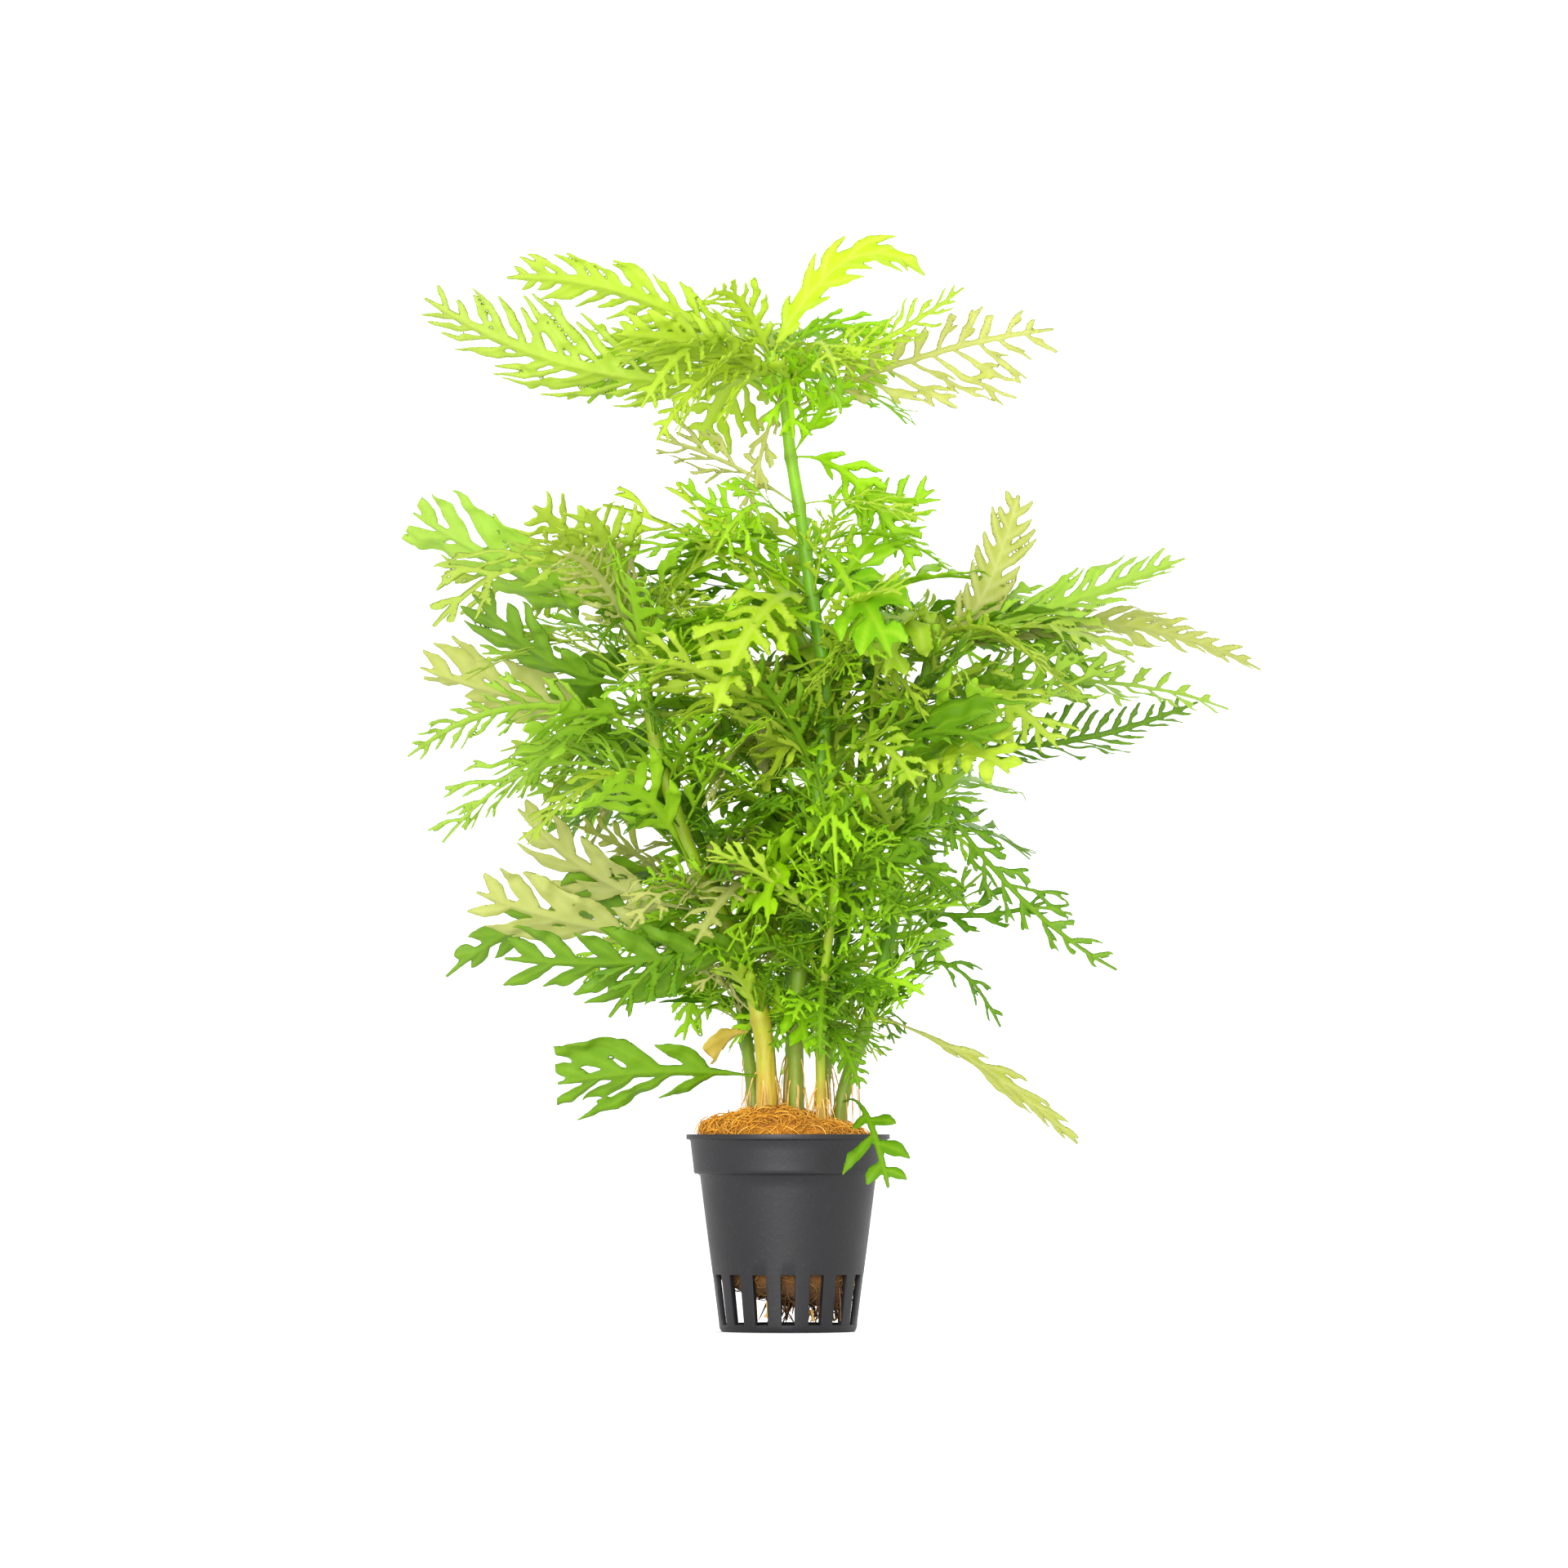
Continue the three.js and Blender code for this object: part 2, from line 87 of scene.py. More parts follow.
# ---- tools ----
# Sockets that take arithmetic, one method that adds any node, geometry trees with named inputs,
# and pieces that are made plain meshes once their modifiers have done their work.
class Wire:
    """A socket of a node tree. Arithmetic on it adds Math nodes to that tree."""

    def __init__(self, nodes, socket):
        self.nodes = nodes
        self.socket = socket

    def math(self, operation, first, second=0.0):
        return self.nodes.add("ShaderNodeMath", {"operation": operation}, {0: first, 1: second})

    def __add__(self, other):
        return self.math("ADD", self, other)

    def __radd__(self, other):
        return self.math("ADD", other, self)

    def __sub__(self, other):
        return self.math("SUBTRACT", self, other)

    def __rsub__(self, other):
        return self.math("SUBTRACT", other, self)

    def __mul__(self, other):
        return self.math("MULTIPLY", self, other)

    def __rmul__(self, other):
        return self.math("MULTIPLY", other, self)

    def __truediv__(self, other):
        return self.math("DIVIDE", self, other)

    def size(self):
        return self.math("ABSOLUTE", self)

    def within_one(self):
        return self.nodes.add("ShaderNodeClamp", {}, {0: self})


class Nodes:
    """Adds nodes to a material or to a geometry tree."""

    def __init__(self, tree):
        self.tree = tree
        tree.nodes.clear()

    def add(self, kind, settings={}, sockets={}, output=0):
        node = self.tree.nodes.new(kind)
        for name, value in settings.items():
            if name == "stops":
                self.set_stops(node.color_ramp, value)
            else:
                setattr(node, name, value)
        for key, value in sockets.items():
            if isinstance(value, Wire):
                self.tree.links.new(value.socket, node.inputs[key])
            else:
                node.inputs[key].default_value = value
        if not node.outputs:
            return node
        return Wire(self, node.outputs[output])

    def set_stops(self, ramp, stops):
        while len(ramp.elements) < len(stops):
            ramp.elements.new(1)
        for element, (place, colour) in zip(ramp.elements, stops):
            element.position = place
            element.color = (*colour, 1)

    def mix(self, factor, first, second):
        """A blend of two colours."""
        sockets = {0: factor}
        for key, colour in ((6, first), (7, second)):
            sockets[key] = colour if isinstance(colour, Wire) else (*colour, 1)
        return self.add("ShaderNodeMix", {"data_type": "RGBA"}, sockets, output=2)

    def vector(self, operation, first, second=(0, 0, 0)):
        sockets = {0: first, 1: second}
        return self.add("ShaderNodeVectorMath", {"operation": operation}, sockets)

    def scaled(self, vector, factor):
        return self.add("ShaderNodeVectorMath", {"operation": "SCALE"}, {0: vector, 3: factor})

    def parts(self, vector):
        split = self.add("ShaderNodeSeparateXYZ", {}, {0: vector})
        return [Wire(self, socket) for socket in split.socket.node.outputs]

    def speckle(self, scale, detail=3.0, place=None):
        """Noise from 0 to 1, scale patches a metre."""
        sockets = {"Vector": place or self.place(), "Scale": scale, "Detail": detail}
        return self.add("ShaderNodeTexNoise", {}, sockets)

    def place(self):
        """The point on the piece, in metres."""
        return self.add("ShaderNodeTexCoord", {}, {}, "Object")

    def mark(self, name):
        """A number kept on the mesh's points, read by a material."""
        return self.add("ShaderNodeAttribute", {"attribute_name": name}, {}, "Fac")

    def kept(self, name, kind="FLOAT"):
        """The same, read by a geometry tree."""
        return self.add("GeometryNodeInputNamedAttribute", {"data_type": kind}, {"Name": name})

    def bump(self, strength, depth, height):
        sockets = {"Strength": strength, "Distance": depth, "Height": height}
        return self.add("ShaderNodeBump", {}, sockets)

    def skin(self, colour, roughness, relief, shine=0.5):
        """The main shader of a finish. Its shine is the specular level."""
        sockets = {"Base Color": colour, "Roughness": roughness, "Normal": relief}
        sockets["Specular IOR Level"] = shine
        return self.add("ShaderNodeBsdfPrincipled", {}, sockets)

    def lumpy(self, shape, lumps, height):
        """A mesh pushed out along its normals by lumps, and shaded smooth."""
        offset = self.scaled(self.add("GeometryNodeInputNormal"), lumps * height)
        shape = self.add("GeometryNodeSetPosition", {}, {0: shape, "Offset": offset})
        return self.add("GeometryNodeSetShadeSmooth", {}, {0: shape})

    def tube(self, course, sides, girth):
        sockets = {"Resolution": sides, "Radius": 1.0}
        ring = self.add("GeometryNodeCurvePrimitiveCircle", {}, sockets)
        sockets = {0: course, 1: ring, "Scale": girth, "Fill Caps": True}
        return self.add("GeometryNodeCurveToMesh", {}, sockets)

    def chance(self, low, high, seed):
        sockets = {2: low, 3: high, "Seed": seed}
        return self.add("FunctionNodeRandomValue", {}, sockets, 1)


def new_finish(name):
    material = bpy.data.materials.new(name)
    material.use_nodes = True
    return material, Nodes(material.node_tree)


def end_finish(nodes, shader):
    nodes.add("ShaderNodeOutputMaterial", {}, {"Surface": shader})


def linear(red, green, blue):
    """A colour given as it is seen, from 0 to 255, in the renderer's linear light."""
    return tuple((c / 255) ** 2.2 for c in (red, green, blue))


def place_piece(name, data):
    """A new object at the origin, in the scene."""
    piece = bpy.data.objects.new(name, data)
    bpy.context.scene.collection.objects.link(piece)
    return piece


def finished(piece):
    """Turns a piece with its modifiers into a plain mesh."""
    state = bpy.context.evaluated_depsgraph_get()
    mesh = bpy.data.meshes.new_from_object(piece.evaluated_get(state), depsgraph=state)
    piece.modifiers.clear()
    piece.data = mesh
    return piece


def mesh_of(shape, name):
    """A new mesh from a bmesh, which is freed."""
    mesh = bpy.data.meshes.new(name)
    shape.to_mesh(mesh)
    shape.free()
    return mesh


def merged_copy(node):
    """A CAD node's mesh with its loose triangles joined up."""
    shape = bmesh.new()
    shape.from_mesh(frame["nodes"][node].data)
    bmesh.ops.remove_doubles(shape, verts=shape.verts, dist=1e-6)
    mesh = mesh_of(shape, node + "_copy")
    mesh.materials.clear()
    return mesh


def geometry_tree(name, inputs):
    """A new geometry tree with named inputs for its sizes, and their wires."""
    tree = bpy.data.node_groups.new(name, "GeometryNodeTree")
    sockets = {"Geometry": "Geometry", "Material": "Material", **inputs}
    for label, kind in sockets.items():
        tree.interface.new_socket(label, in_out="INPUT", socket_type="NodeSocket" + kind)
    tree.interface.new_socket("Geometry", in_out="OUTPUT", socket_type="NodeSocketGeometry")
    nodes = Nodes(tree)
    first = nodes.add("NodeGroupInput").socket.node
    wires = {label: Wire(nodes, socket) for label, socket in zip(sockets, first.outputs)}
    return tree, nodes, wires


def end_tree(nodes, shape, material):
    shape = nodes.add("GeometryNodeRealizeInstances", {}, {0: shape})
    shape = nodes.add("GeometryNodeSetMaterial", {}, {0: shape, "Material": material})
    nodes.add("NodeGroupOutput", {}, {0: shape})


def grow(piece, tree, values):
    """Puts a geometry tree on a piece, sets its inputs and makes the result a plain mesh."""
    modifier = piece.modifiers.new("shape", "NODES")
    modifier.node_group = tree
    for item in tree.interface.items_tree:
        if item.in_out == "INPUT" and item.name in values:
            modifier[item.identifier] = values[item.name]
    return finished(piece)


# ---- floor and light ----
# A plain white table under a white studio sky, with one broad soft lamp at the front left, one
# behind the plant that shines through the leaves, and a weak fill at the right.
TABLE_RADIUS = 6.0
SKY_STRENGTH = 1.35
LAMPS = {  # the place of each lamp, its power in watts and its breadth
    "front_lamp": ((-0.35, -1.8, 0.5), 46, 1.0),
    "back_lamp": ((0.5, 1.2, 0.9), 12, 1.0),
    "right_lamp": ((1.3, -0.5, 0.5), 1.5, 0.8),
}


def table_finish():
    material, nodes = new_finish("white_table")
    grain = nodes.speckle(30)
    colour = nodes.mix(grain, (0.86, 0.86, 0.86), (0.9, 0.9, 0.9))
    paint = nodes.add("ShaderNodeBsdfPrincipled", {}, {"Base Color": colour, "Roughness": 0.9})
    end_finish(nodes, paint)
    return material


def make_table():
    shape = bmesh.new()
    bmesh.ops.create_circle(shape, cap_ends=True, segments=96, radius=TABLE_RADIUS)
    mesh = mesh_of(shape, "table")
    mesh.materials.append(table_finish())
    place_piece("table", mesh)


def hang_lamp(name, place, power, breadth):
    """A soft lamp that is turned to the middle of the view."""
    lamp = bpy.data.lights.new(name, "AREA")
    lamp.energy = power
    lamp.size = breadth
    holder = place_piece(name, lamp)
    holder.location = place
    holder.rotation_euler = (FRAME_MIDDLE - Vector(place)).to_track_quat("-Z", "Y").to_euler()


def light_sky():
    sky = bpy.data.worlds.new("sky")
    sky.use_nodes = True
    nodes = Nodes(sky.node_tree)
    sockets = {"Color": (1, 1, 1, 1), "Strength": SKY_STRENGTH}
    glow = nodes.add("ShaderNodeBackground", {}, sockets)
    nodes.add("ShaderNodeOutputWorld", {}, {"Surface": glow})
    bpy.context.scene.world = sky


make_table()
light_sky()
for lamp_name, lamp_values in LAMPS.items():
    hang_lamp(lamp_name, *lamp_values)


# ---- net pot ----
# The pot is one thin injection moulding in charcoal polypropylene. Its wall is turned up from a
# round floor, steps out to a collar and ends in a flat lip, and the slots are cut through it.
POT_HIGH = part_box("net_pot")[1]
POT_WALL = 0.0012
POT_ROUNDING = 0.00018
BASE_RADIUS = 0.0167
BODY_TAPER = 0.0049  # how much the radius grows from the floor to the collar
COLLAR_RADIUS = 0.0231
COLLAR_TAPER = 0.0008
COLLAR_HEIGHT = 0.0095  # from the collar's step to the rim
LIP_THICKNESS = 0.0010
SLOTS = 16
COLUMNS_PER_SLOT = 12
SLOT_COLUMNS = 6  # of those, the open ones
SLOT_BOTTOM = 0.0018
SLOT_TOP = 0.0140
BASE_OPENINGS = 4
BASE_OPENING_INSIDE = 0.0052
BASE_OPENING_OUTSIDE = 0.0124
BASE_OPENING_HALF_WIDTH = 0.0027


def pot_profile():
    """The outer face from the middle of the floor to the lip's edge, as (radius, height)."""
    rim, top = POT_HIGH.x, POT_HIGH.z
    collar = top - COLLAR_HEIGHT
    floor = [(r, 0) for r in (0.0017, 0.0034, BASE_OPENING_INSIDE, 0.007, 0.0088, 0.0106)]
    floor += [(BASE_OPENING_OUTSIDE, 0), (0.0140, 0), (0.0154, 0), (0.0163, 0.0001)]
    heights = [*np.linspace(SLOT_BOTTOM, SLOT_TOP, 6), *np.linspace(0.018, collar - 0.0004, 7)]
    wall = [(BASE_RADIUS + BODY_TAPER * z / collar, z) for z in heights]
    step = [(0.0220, collar), (0.0228, collar + 0.0001), (COLLAR_RADIUS, collar + 0.0006)]
    rows = [(t, collar + 0.0012 + 0.0068 * t) for t in (0, 0.33, 0.66, 1)]
    collar_face = [(COLLAR_RADIUS + COLLAR_TAPER * t, z) for t, z in rows]
    under = top - LIP_THICKNESS
    lip = [(0.0241, top - 0.0012), (0.0245, under), (rim - 0.0001, under)]
    return floor + [(BASE_RADIUS, 0.0007)] + wall + step + collar_face + lip


def is_open(radius, height, column):
    """Whether a cell of the sheet lies in a wall slot or in an opening of the floor."""
    if height > SLOT_BOTTOM:
        place = (column + SLOT_COLUMNS // 2) % COLUMNS_PER_SLOT
        return height < SLOT_TOP and place < SLOT_COLUMNS
    if not BASE_OPENING_INSIDE < radius < BASE_OPENING_OUTSIDE:
        return False
    turn = 2 * math.pi * (column + 0.5) / (SLOTS * COLUMNS_PER_SLOT)
    quarter = 2 * math.pi / BASE_OPENINGS
    off = (turn + quarter / 2) % quarter - quarter / 2
    return abs(radius * math.sin(off)) < BASE_OPENING_HALF_WIDTH


def pot_sheet():
    profile = pot_profile()
    columns = SLOTS * COLUMNS_PER_SLOT
    turns = [2 * math.pi * c / columns - math.pi / 2 for c in range(columns)]
    shape = bmesh.new()
    rings = []
    for radius, height in profile:
        ring = [(radius * math.cos(t), radius * math.sin(t), height) for t in turns]
        rings.append([shape.verts.new(corner) for corner in ring])
    for row in range(len(profile) - 1):
        radius = (profile[row][0] + profile[row + 1][0]) / 2
        height = (profile[row][1] + profile[row + 1][1]) / 2
        for c in range(columns):
            if is_open(radius, height, c):
                continue
            d = (c + 1) % columns
            shape.faces.new((rings[row][c], rings[row][d], rings[row + 1][d], rings[row + 1][c]))
    shape.faces.new(list(reversed(rings[0])))
    loose = [v for v in shape.verts if not v.link_faces]
    bmesh.ops.delete(shape, geom=loose, context="VERTS")
    return mesh_of(shape, "net_pot")


def pot_finish():
    material, nodes = new_finish("charcoal_plastic")
    cloud = nodes.speckle(60, 4)
    dust = nodes.speckle(900, 2)
    height = nodes.parts(nodes.place())[2]
    # The colour turns a little lighter towards the collar and the rim.
    toward_rim = ((height * 55 - 1.9) * 0.5).within_one()
    colour = nodes.mix(cloud, linear(20, 19, 22), linear(28, 27, 30))
    colour = nodes.mix(((dust - 0.62) * 6).within_one() * 0.35, colour, linear(52, 50, 52))
    colour = nodes.mix(toward_rim * 0.25, colour, linear(46, 45, 48))
    relief = nodes.bump(0.25, 0.0002, dust + cloud)
    end_finish(nodes, nodes.skin(colour, cloud * 0.2 + 0.42, relief, 0.36))
    return material


def make_pot():
    pot = place_piece("net_pot_moulding", pot_sheet())
    pot.data.materials.append(pot_finish())
    wall = pot.modifiers.new("wall", "SOLIDIFY")
    wall.thickness = POT_WALL
    wall.offset = -1
    wall.use_even_offset = True
    rounding = pot.modifiers.new("rounding", "BEVEL")
    rounding.width = POT_ROUNDING
    rounding.segments = 2
    rounding.limit_method = "ANGLE"
    rounding.angle_limit = math.radians(50)
    finished(pot)
    pot.data.shade_smooth()
    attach(pot, "root")
    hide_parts("net_pot")


make_pot()


# ---- growing medium ----
# The plug is coconut fibre pressed round the roots. Its core is a lumpy solid that fills the
# pot, and loose curled fibres stand up all over its top and through the slots.
FIBRE_COLOURS = [
    (0.0, linear(104, 64, 14)),
    (0.35, linear(172, 110, 22)),
    (0.7, linear(214, 148, 34)),
    (1.0, linear(236, 196, 96)),
]


def fibre_finish():
    """Orange-brown fibre that turns dark low in the pot."""
    material, nodes = new_finish("coconut_fibre")
    patch = nodes.speckle(180, 4)
    fine = nodes.speckle(1500, 2)
    shade = (nodes.mark("shade") * 0.6 + patch * 0.5).within_one()
    colour = nodes.add("ShaderNodeValToRGB", {"stops": FIBRE_COLOURS}, {"Fac": shade})
    # Darker towards the bottom of the pot.
    low_in_pot = (1.6 - nodes.parts(nodes.place())[2] * 60).within_one()
    colour = nodes.mix(low_in_pot * 0.85, colour, linear(44, 34, 28))
    end_finish(nodes, nodes.skin(colour, 0.95, nodes.bump(0.8, 0.0006, patch + fine)))
    return material


def fibre_plug_tree():
    sizes = ("Lump Height", "Lump Scale", "Fibres", "Fibre Length", "Fibre Girth")
    inputs = {**dict.fromkeys(sizes, "Float"), "Seed": "Int"}
    tree, nodes, given = geometry_tree("fibre_plug", inputs)
    sockets = {0: given["Geometry"], "Level": 3, "Edge Crease": 0.35}
    core = nodes.add("GeometryNodeSubdivisionSurface", {}, sockets)
    place = nodes.add("GeometryNodeInputPosition")
    lumps = nodes.speckle(given["Lump Scale"], 4.0, place) - 0.6
    core = nodes.lumpy(core, lumps, given["Lump Height"])
    height = nodes.parts(place)[2]
    on_top = ((height - (POT_HIGH.z - 0.001)) * 1000).within_one()
    low_down = ((0.016 - height) * 1000).within_one() * 0.35
    density = given["Fibres"] * (on_top + low_down)
    sockets = {0: core, "Density": density, "Seed": given["Seed"]}
    points = nodes.add("GeometryNodeDistributePointsOnFaces", {}, sockets).socket.node.outputs
    sockets = {"Resolution": 6, "Start": (-0.5, 0, -0.08), "Middle": (0, 0.25, 0.4)}
    sockets["End"] = (0.5, 0, 0.02)
    bend = nodes.add("GeometryNodeCurveQuadraticBezier", {}, sockets)
    fibre = nodes.tube(bend, 4, given["Fibre Girth"] / given["Fibre Length"])
    sockets = {0: (-0.5, -0.5, 0.0), 1: (0.5, 0.5, 6.28), "Seed": given["Seed"]}
    spin = nodes.add("FunctionNodeRandomValue", {"data_type": "FLOAT_VECTOR"}, sockets)
    turn = nodes.add("FunctionNodeEulerToRotation", {}, {0: spin})
    sockets = {0: Wire(nodes, points["Rotation"]), 1: turn}
    lie = nodes.add("FunctionNodeRotateRotation", {"rotation_space": "LOCAL"}, sockets)
    reach = nodes.chance(0.35, 1.0, given["Seed"] + 1) * given["Fibre Length"]
    sockets = {0: Wire(nodes, points["Points"]), "Instance": fibre, "Rotation": lie, "Scale": reach}
    fibres = nodes.add("GeometryNodeInstanceOnPoints", {}, sockets)
    shade = nodes.chance(0.0, 1.0, given["Seed"] + 2)
    sockets = {0: fibres, "Name": "shade", "Value": shade}
    fibres = nodes.add("GeometryNodeStoreNamedAttribute", {"domain": "INSTANCE"}, sockets)
    both = nodes.add("GeometryNodeJoinGeometry", {}, {0: core})
    tree.links.new(fibres.socket, both.socket.node.inputs[0])
    end_tree(nodes, both, given["Material"])
    return tree


FIBRE_SKIN = fibre_finish()


def make_medium():
    plug = place_piece("fibre_plug", merged_copy("growing_medium"))
    values = {
        "Lump Height": 0.0022,
        "Lump Scale": 170.0,
        "Fibres": 850000.0,
        "Fibre Length": 0.0065,
        "Fibre Girth": 0.00013,
        "Seed": 4,
        "Material": FIBRE_SKIN,
    }
    grow(plug, fibre_plug_tree(), values)
    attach(plug, "root")
    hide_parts("growing_medium")


make_medium()


# ---- roots and stems ----
# Each stem is a soft round shoot that swells at the joints its leaves grow from, brown at the
# foot and yellow-green at the top. Pale roots hang from the plug and run from the feet into it.
LINE_SPACING = 0.002
LINE_END = 0.0012  # the middle line stops this far short of a rod's ends
JOINT_SPACING = 0.0115
FIRST_JOINT = 0.02  # above the stem's foot
JOINT_HALF_HEIGHT = 0.0013
STEM_SINK = 0.004
STRANDS_PER_ROOT = 5
ROOTS_PER_STEM = 18
PLUG_ENDS = 90
ROOT_POINTS = 9
ROOT_MARKS = {"along": [k / (ROOT_POINTS - 1) for k in range(ROOT_POINTS)]}
PLUG_UNDERSIDE = (0.0095, 0.012)


def centre_line(node):
    """The middle of an upright CAD rod and its girth, at even heights from its foot."""
    mesh = merged_copy(node)
    verts = np.array([v.co for v in mesh.vertices])
    edges = np.array([e.vertices for e in mesh.edges])
    low, high = verts[:, 2].min(), verts[:, 2].max()
    line = []
    rows = max(3, int((high - low) / LINE_SPACING))
    for z in np.linspace(low + LINE_END, high - LINE_END, rows):
        a, b = verts[edges[:, 0]], verts[edges[:, 1]]
        crosses = (a[:, 2] - z) * (b[:, 2] - z) < 0
        a, b = a[crosses], b[crosses]
        share = ((z - a[:, 2]) / (b[:, 2] - a[:, 2]))[:, None]
        ring = a + share * (b - a)
        middle = (ring.min(0) + ring.max(0)) / 2
        girth = np.linalg.norm((ring - middle)[:, :2], axis=1).mean()
        line.append((*middle, girth))
    bpy.data.meshes.remove(mesh)
    line = np.array(line)
    kernel = np.ones(5) / 5
    for k in (0, 1, 3):
        padded = np.concatenate([[line[0, k]] * 2, line[:, k], [line[-1, k]] * 2])
        line[:, k] = np.convolve(padded, kernel, "valid")
    return line


def strand_mesh(name, strands):
    """Open lines with marks on their points: each strand is (points, girths, marks by name)."""
    points, edges = [], []
    for line, _, _ in strands:
        first = len(points)
        points.extend(tuple(p) for p in line)
        edges.extend((first + i, first + i + 1) for i in range(len(line) - 1))
    mesh = bpy.data.meshes.new(name)
    mesh.from_pydata(points, edges, [])
    for mark in ("girth", *strands[0][2]):
        values = []
        for _, girths, marks in strands:
            values.extend(girths if mark == "girth" else marks[mark])
        mesh.attributes.new(mark, "FLOAT", "POINT").data.foreach_set("value", values)
    return mesh


def strand_tree():
    """Round strands along open lines, with a wobbly surface."""
    inputs = {"Sides": "Int", "Wobble": "Float", "Wobble Scale": "Float"}
    tree, nodes, given = geometry_tree("strand", inputs)
    course = nodes.add("GeometryNodeMeshToCurve", {}, {0: given["Geometry"]})
    tube = nodes.tube(course, given["Sides"], nodes.kept("girth"))
    place = nodes.add("GeometryNodeInputPosition")
    waves = nodes.speckle(given["Wobble Scale"], 2.0, place) - 0.5
    end_tree(nodes, nodes.lumpy(tube, waves, given["Wobble"]), given["Material"])
    return tree


def stem_finish(name, foot, middle, top, joint):
    """Skin that changes along the stem, streaked lengthways and darker at the joints."""
    material, nodes = new_finish(name)
    along = nodes.mark("along")
    streak = nodes.speckle(700, 3)
    patch = nodes.speckle(90, 3)
    stops = [(0.0, linear(*foot)), (0.26, linear(*middle)), (0.75, linear(*middle))]
    stops.append((1.0, linear(*top)))
    joint = linear(*joint)
    share = (along + (patch - 0.5) * 0.3).within_one()
    colour = nodes.add("ShaderNodeValToRGB", {"stops": stops}, {"Fac": share})
    colour = nodes.mix(nodes.mark("joint") * 0.35, colour, joint)
    fibrous = (1 - along * 5).within_one()
    threads = nodes.speckle(1.0, 3, nodes.vector("MULTIPLY", nodes.place(), (900, 900, 110)))
    threads = ((threads - 0.45) * 4).within_one()
    colour = nodes.mix(threads * (fibrous * 0.5 + 0.2), colour, joint)
    relief = nodes.bump(0.4, 0.0003, streak + patch)
    end_finish(nodes, nodes.skin(colour, streak * 0.2 + 0.38, relief, 0.3))
    return material


def root_finish():
    material, nodes = new_finish("root_skin")
    patch = nodes.speckle(220, 3)
    colour = nodes.mix(patch, linear(168, 118, 44), linear(224, 186, 108))
    end_finish(nodes, nodes.skin(colour, 0.6, nodes.bump(0.3, 0.0002, patch)))
    return material


NODES_OF = {}
for entry in frame["record"]["subparts"]:
    NODES_OF.setdefault(entry["node"].split("_")[0], []).append(entry["node"])
SLOT_OF = {entry["node"]: entry["material_slot"] for entry in frame["record"]["subparts"]}

STRAND = strand_tree()
GREEN_STEM = ((112, 120, 36), (92, 142, 12), (140, 184, 32), (84, 96, 24))
TAN_STEM = ((176, 142, 50), (124, 154, 24), (140, 180, 40), (116, 90, 28))
STEM_SKINS = {
    "stem_green": stem_finish("green_stem_skin", *GREEN_STEM),
    "stem_tan": stem_finish("tan_stem_skin", *TAN_STEM),
}
ROOT_SKIN = root_finish()


def grown_strands(name, strands, sides, wobble, scale, skin):
    """A piece of round strands on the given lines."""
    piece = place_piece(name, strand_mesh(name, strands))
    values = {"Sides": sides, "Wobble": wobble, "Wobble Scale": scale, "Material": skin}
    return grow(piece, STRAND, values)


def joint_heights(node):
    """Heights of a stem's joints, at even steps from above its foot."""
    line = centre_line(node)
    return np.arange(line[0, 2] + FIRST_JOINT, line[-1, 2], JOINT_SPACING)


def make_stem(node):
    line = centre_line(node)
    knots = np.zeros(len(line))
    for height in joint_heights(node):
        knots = np.maximum(knots, np.exp(-(((line[:, 2] - height) / JOINT_HALF_HEIGHT) ** 2)))
    girth = line[:, 3] * (0.95 + 0.16 * knots)
    marks = {"along": list(np.linspace(0, 1, len(line))), "joint": list(knots)}
    points = line[:, :3].copy()
    points[0, 2] -= STEM_SINK
    strands = [(points, list(girth), marks)]
    skin = STEM_SKINS[SLOT_OF[node]]
    stem = grown_strands(node + "_shoot", strands, 14, 0.0004, 260.0, skin)
    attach(stem, "root")
    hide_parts(node)


for stem_node in NODES_OF["stem"]:
    make_stem(stem_node)


def curved_root(start, direction, length, droop, draws):
    """A thin root that sets off one way, droops and wanders."""
    points = []
    drift = Vector((draws.uniform(-1, 1), draws.uniform(-1, 1), 0)) * 0.3
    for t in ROOT_MARKS["along"]:
        straight = start + direction * length * t
        points.append(straight + drift * length * t * t - Vector((0, 0, droop * t * t)))
    return points


def root_girths(thin, thick, taper, draws):
    return [draws.uniform(thin, thick) * (1 - taper * k) for k in range(ROOT_POINTS)]


def make_hanging_root(node):
    low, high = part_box(node)
    draws = random.Random(node)
    middle = (low + high) / 2
    strands = []
    for _ in range(STRANDS_PER_ROOT):
        off = Vector((draws.uniform(-1, 1), draws.uniform(-1, 1), 0)) * 0.0012
        start = Vector((middle.x, middle.y, high.z)) + off
        drop = (high.z - low.z) * draws.uniform(0.7, 1.0)
        lean = Vector((draws.uniform(-0.4, 0.4), draws.uniform(-0.4, 0.4), -1))
        line = curved_root(start, lean, drop, 0.0, draws)
        strands.append((line, root_girths(0.0003, 0.0005, 0.06, draws), ROOT_MARKS))
    root = grown_strands(node + "_strands", strands, 6, 0.0003, 900.0, ROOT_SKIN)
    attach(root, "root")
    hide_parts(node)


for root_node in NODES_OF["root"]:
    make_hanging_root(root_node)


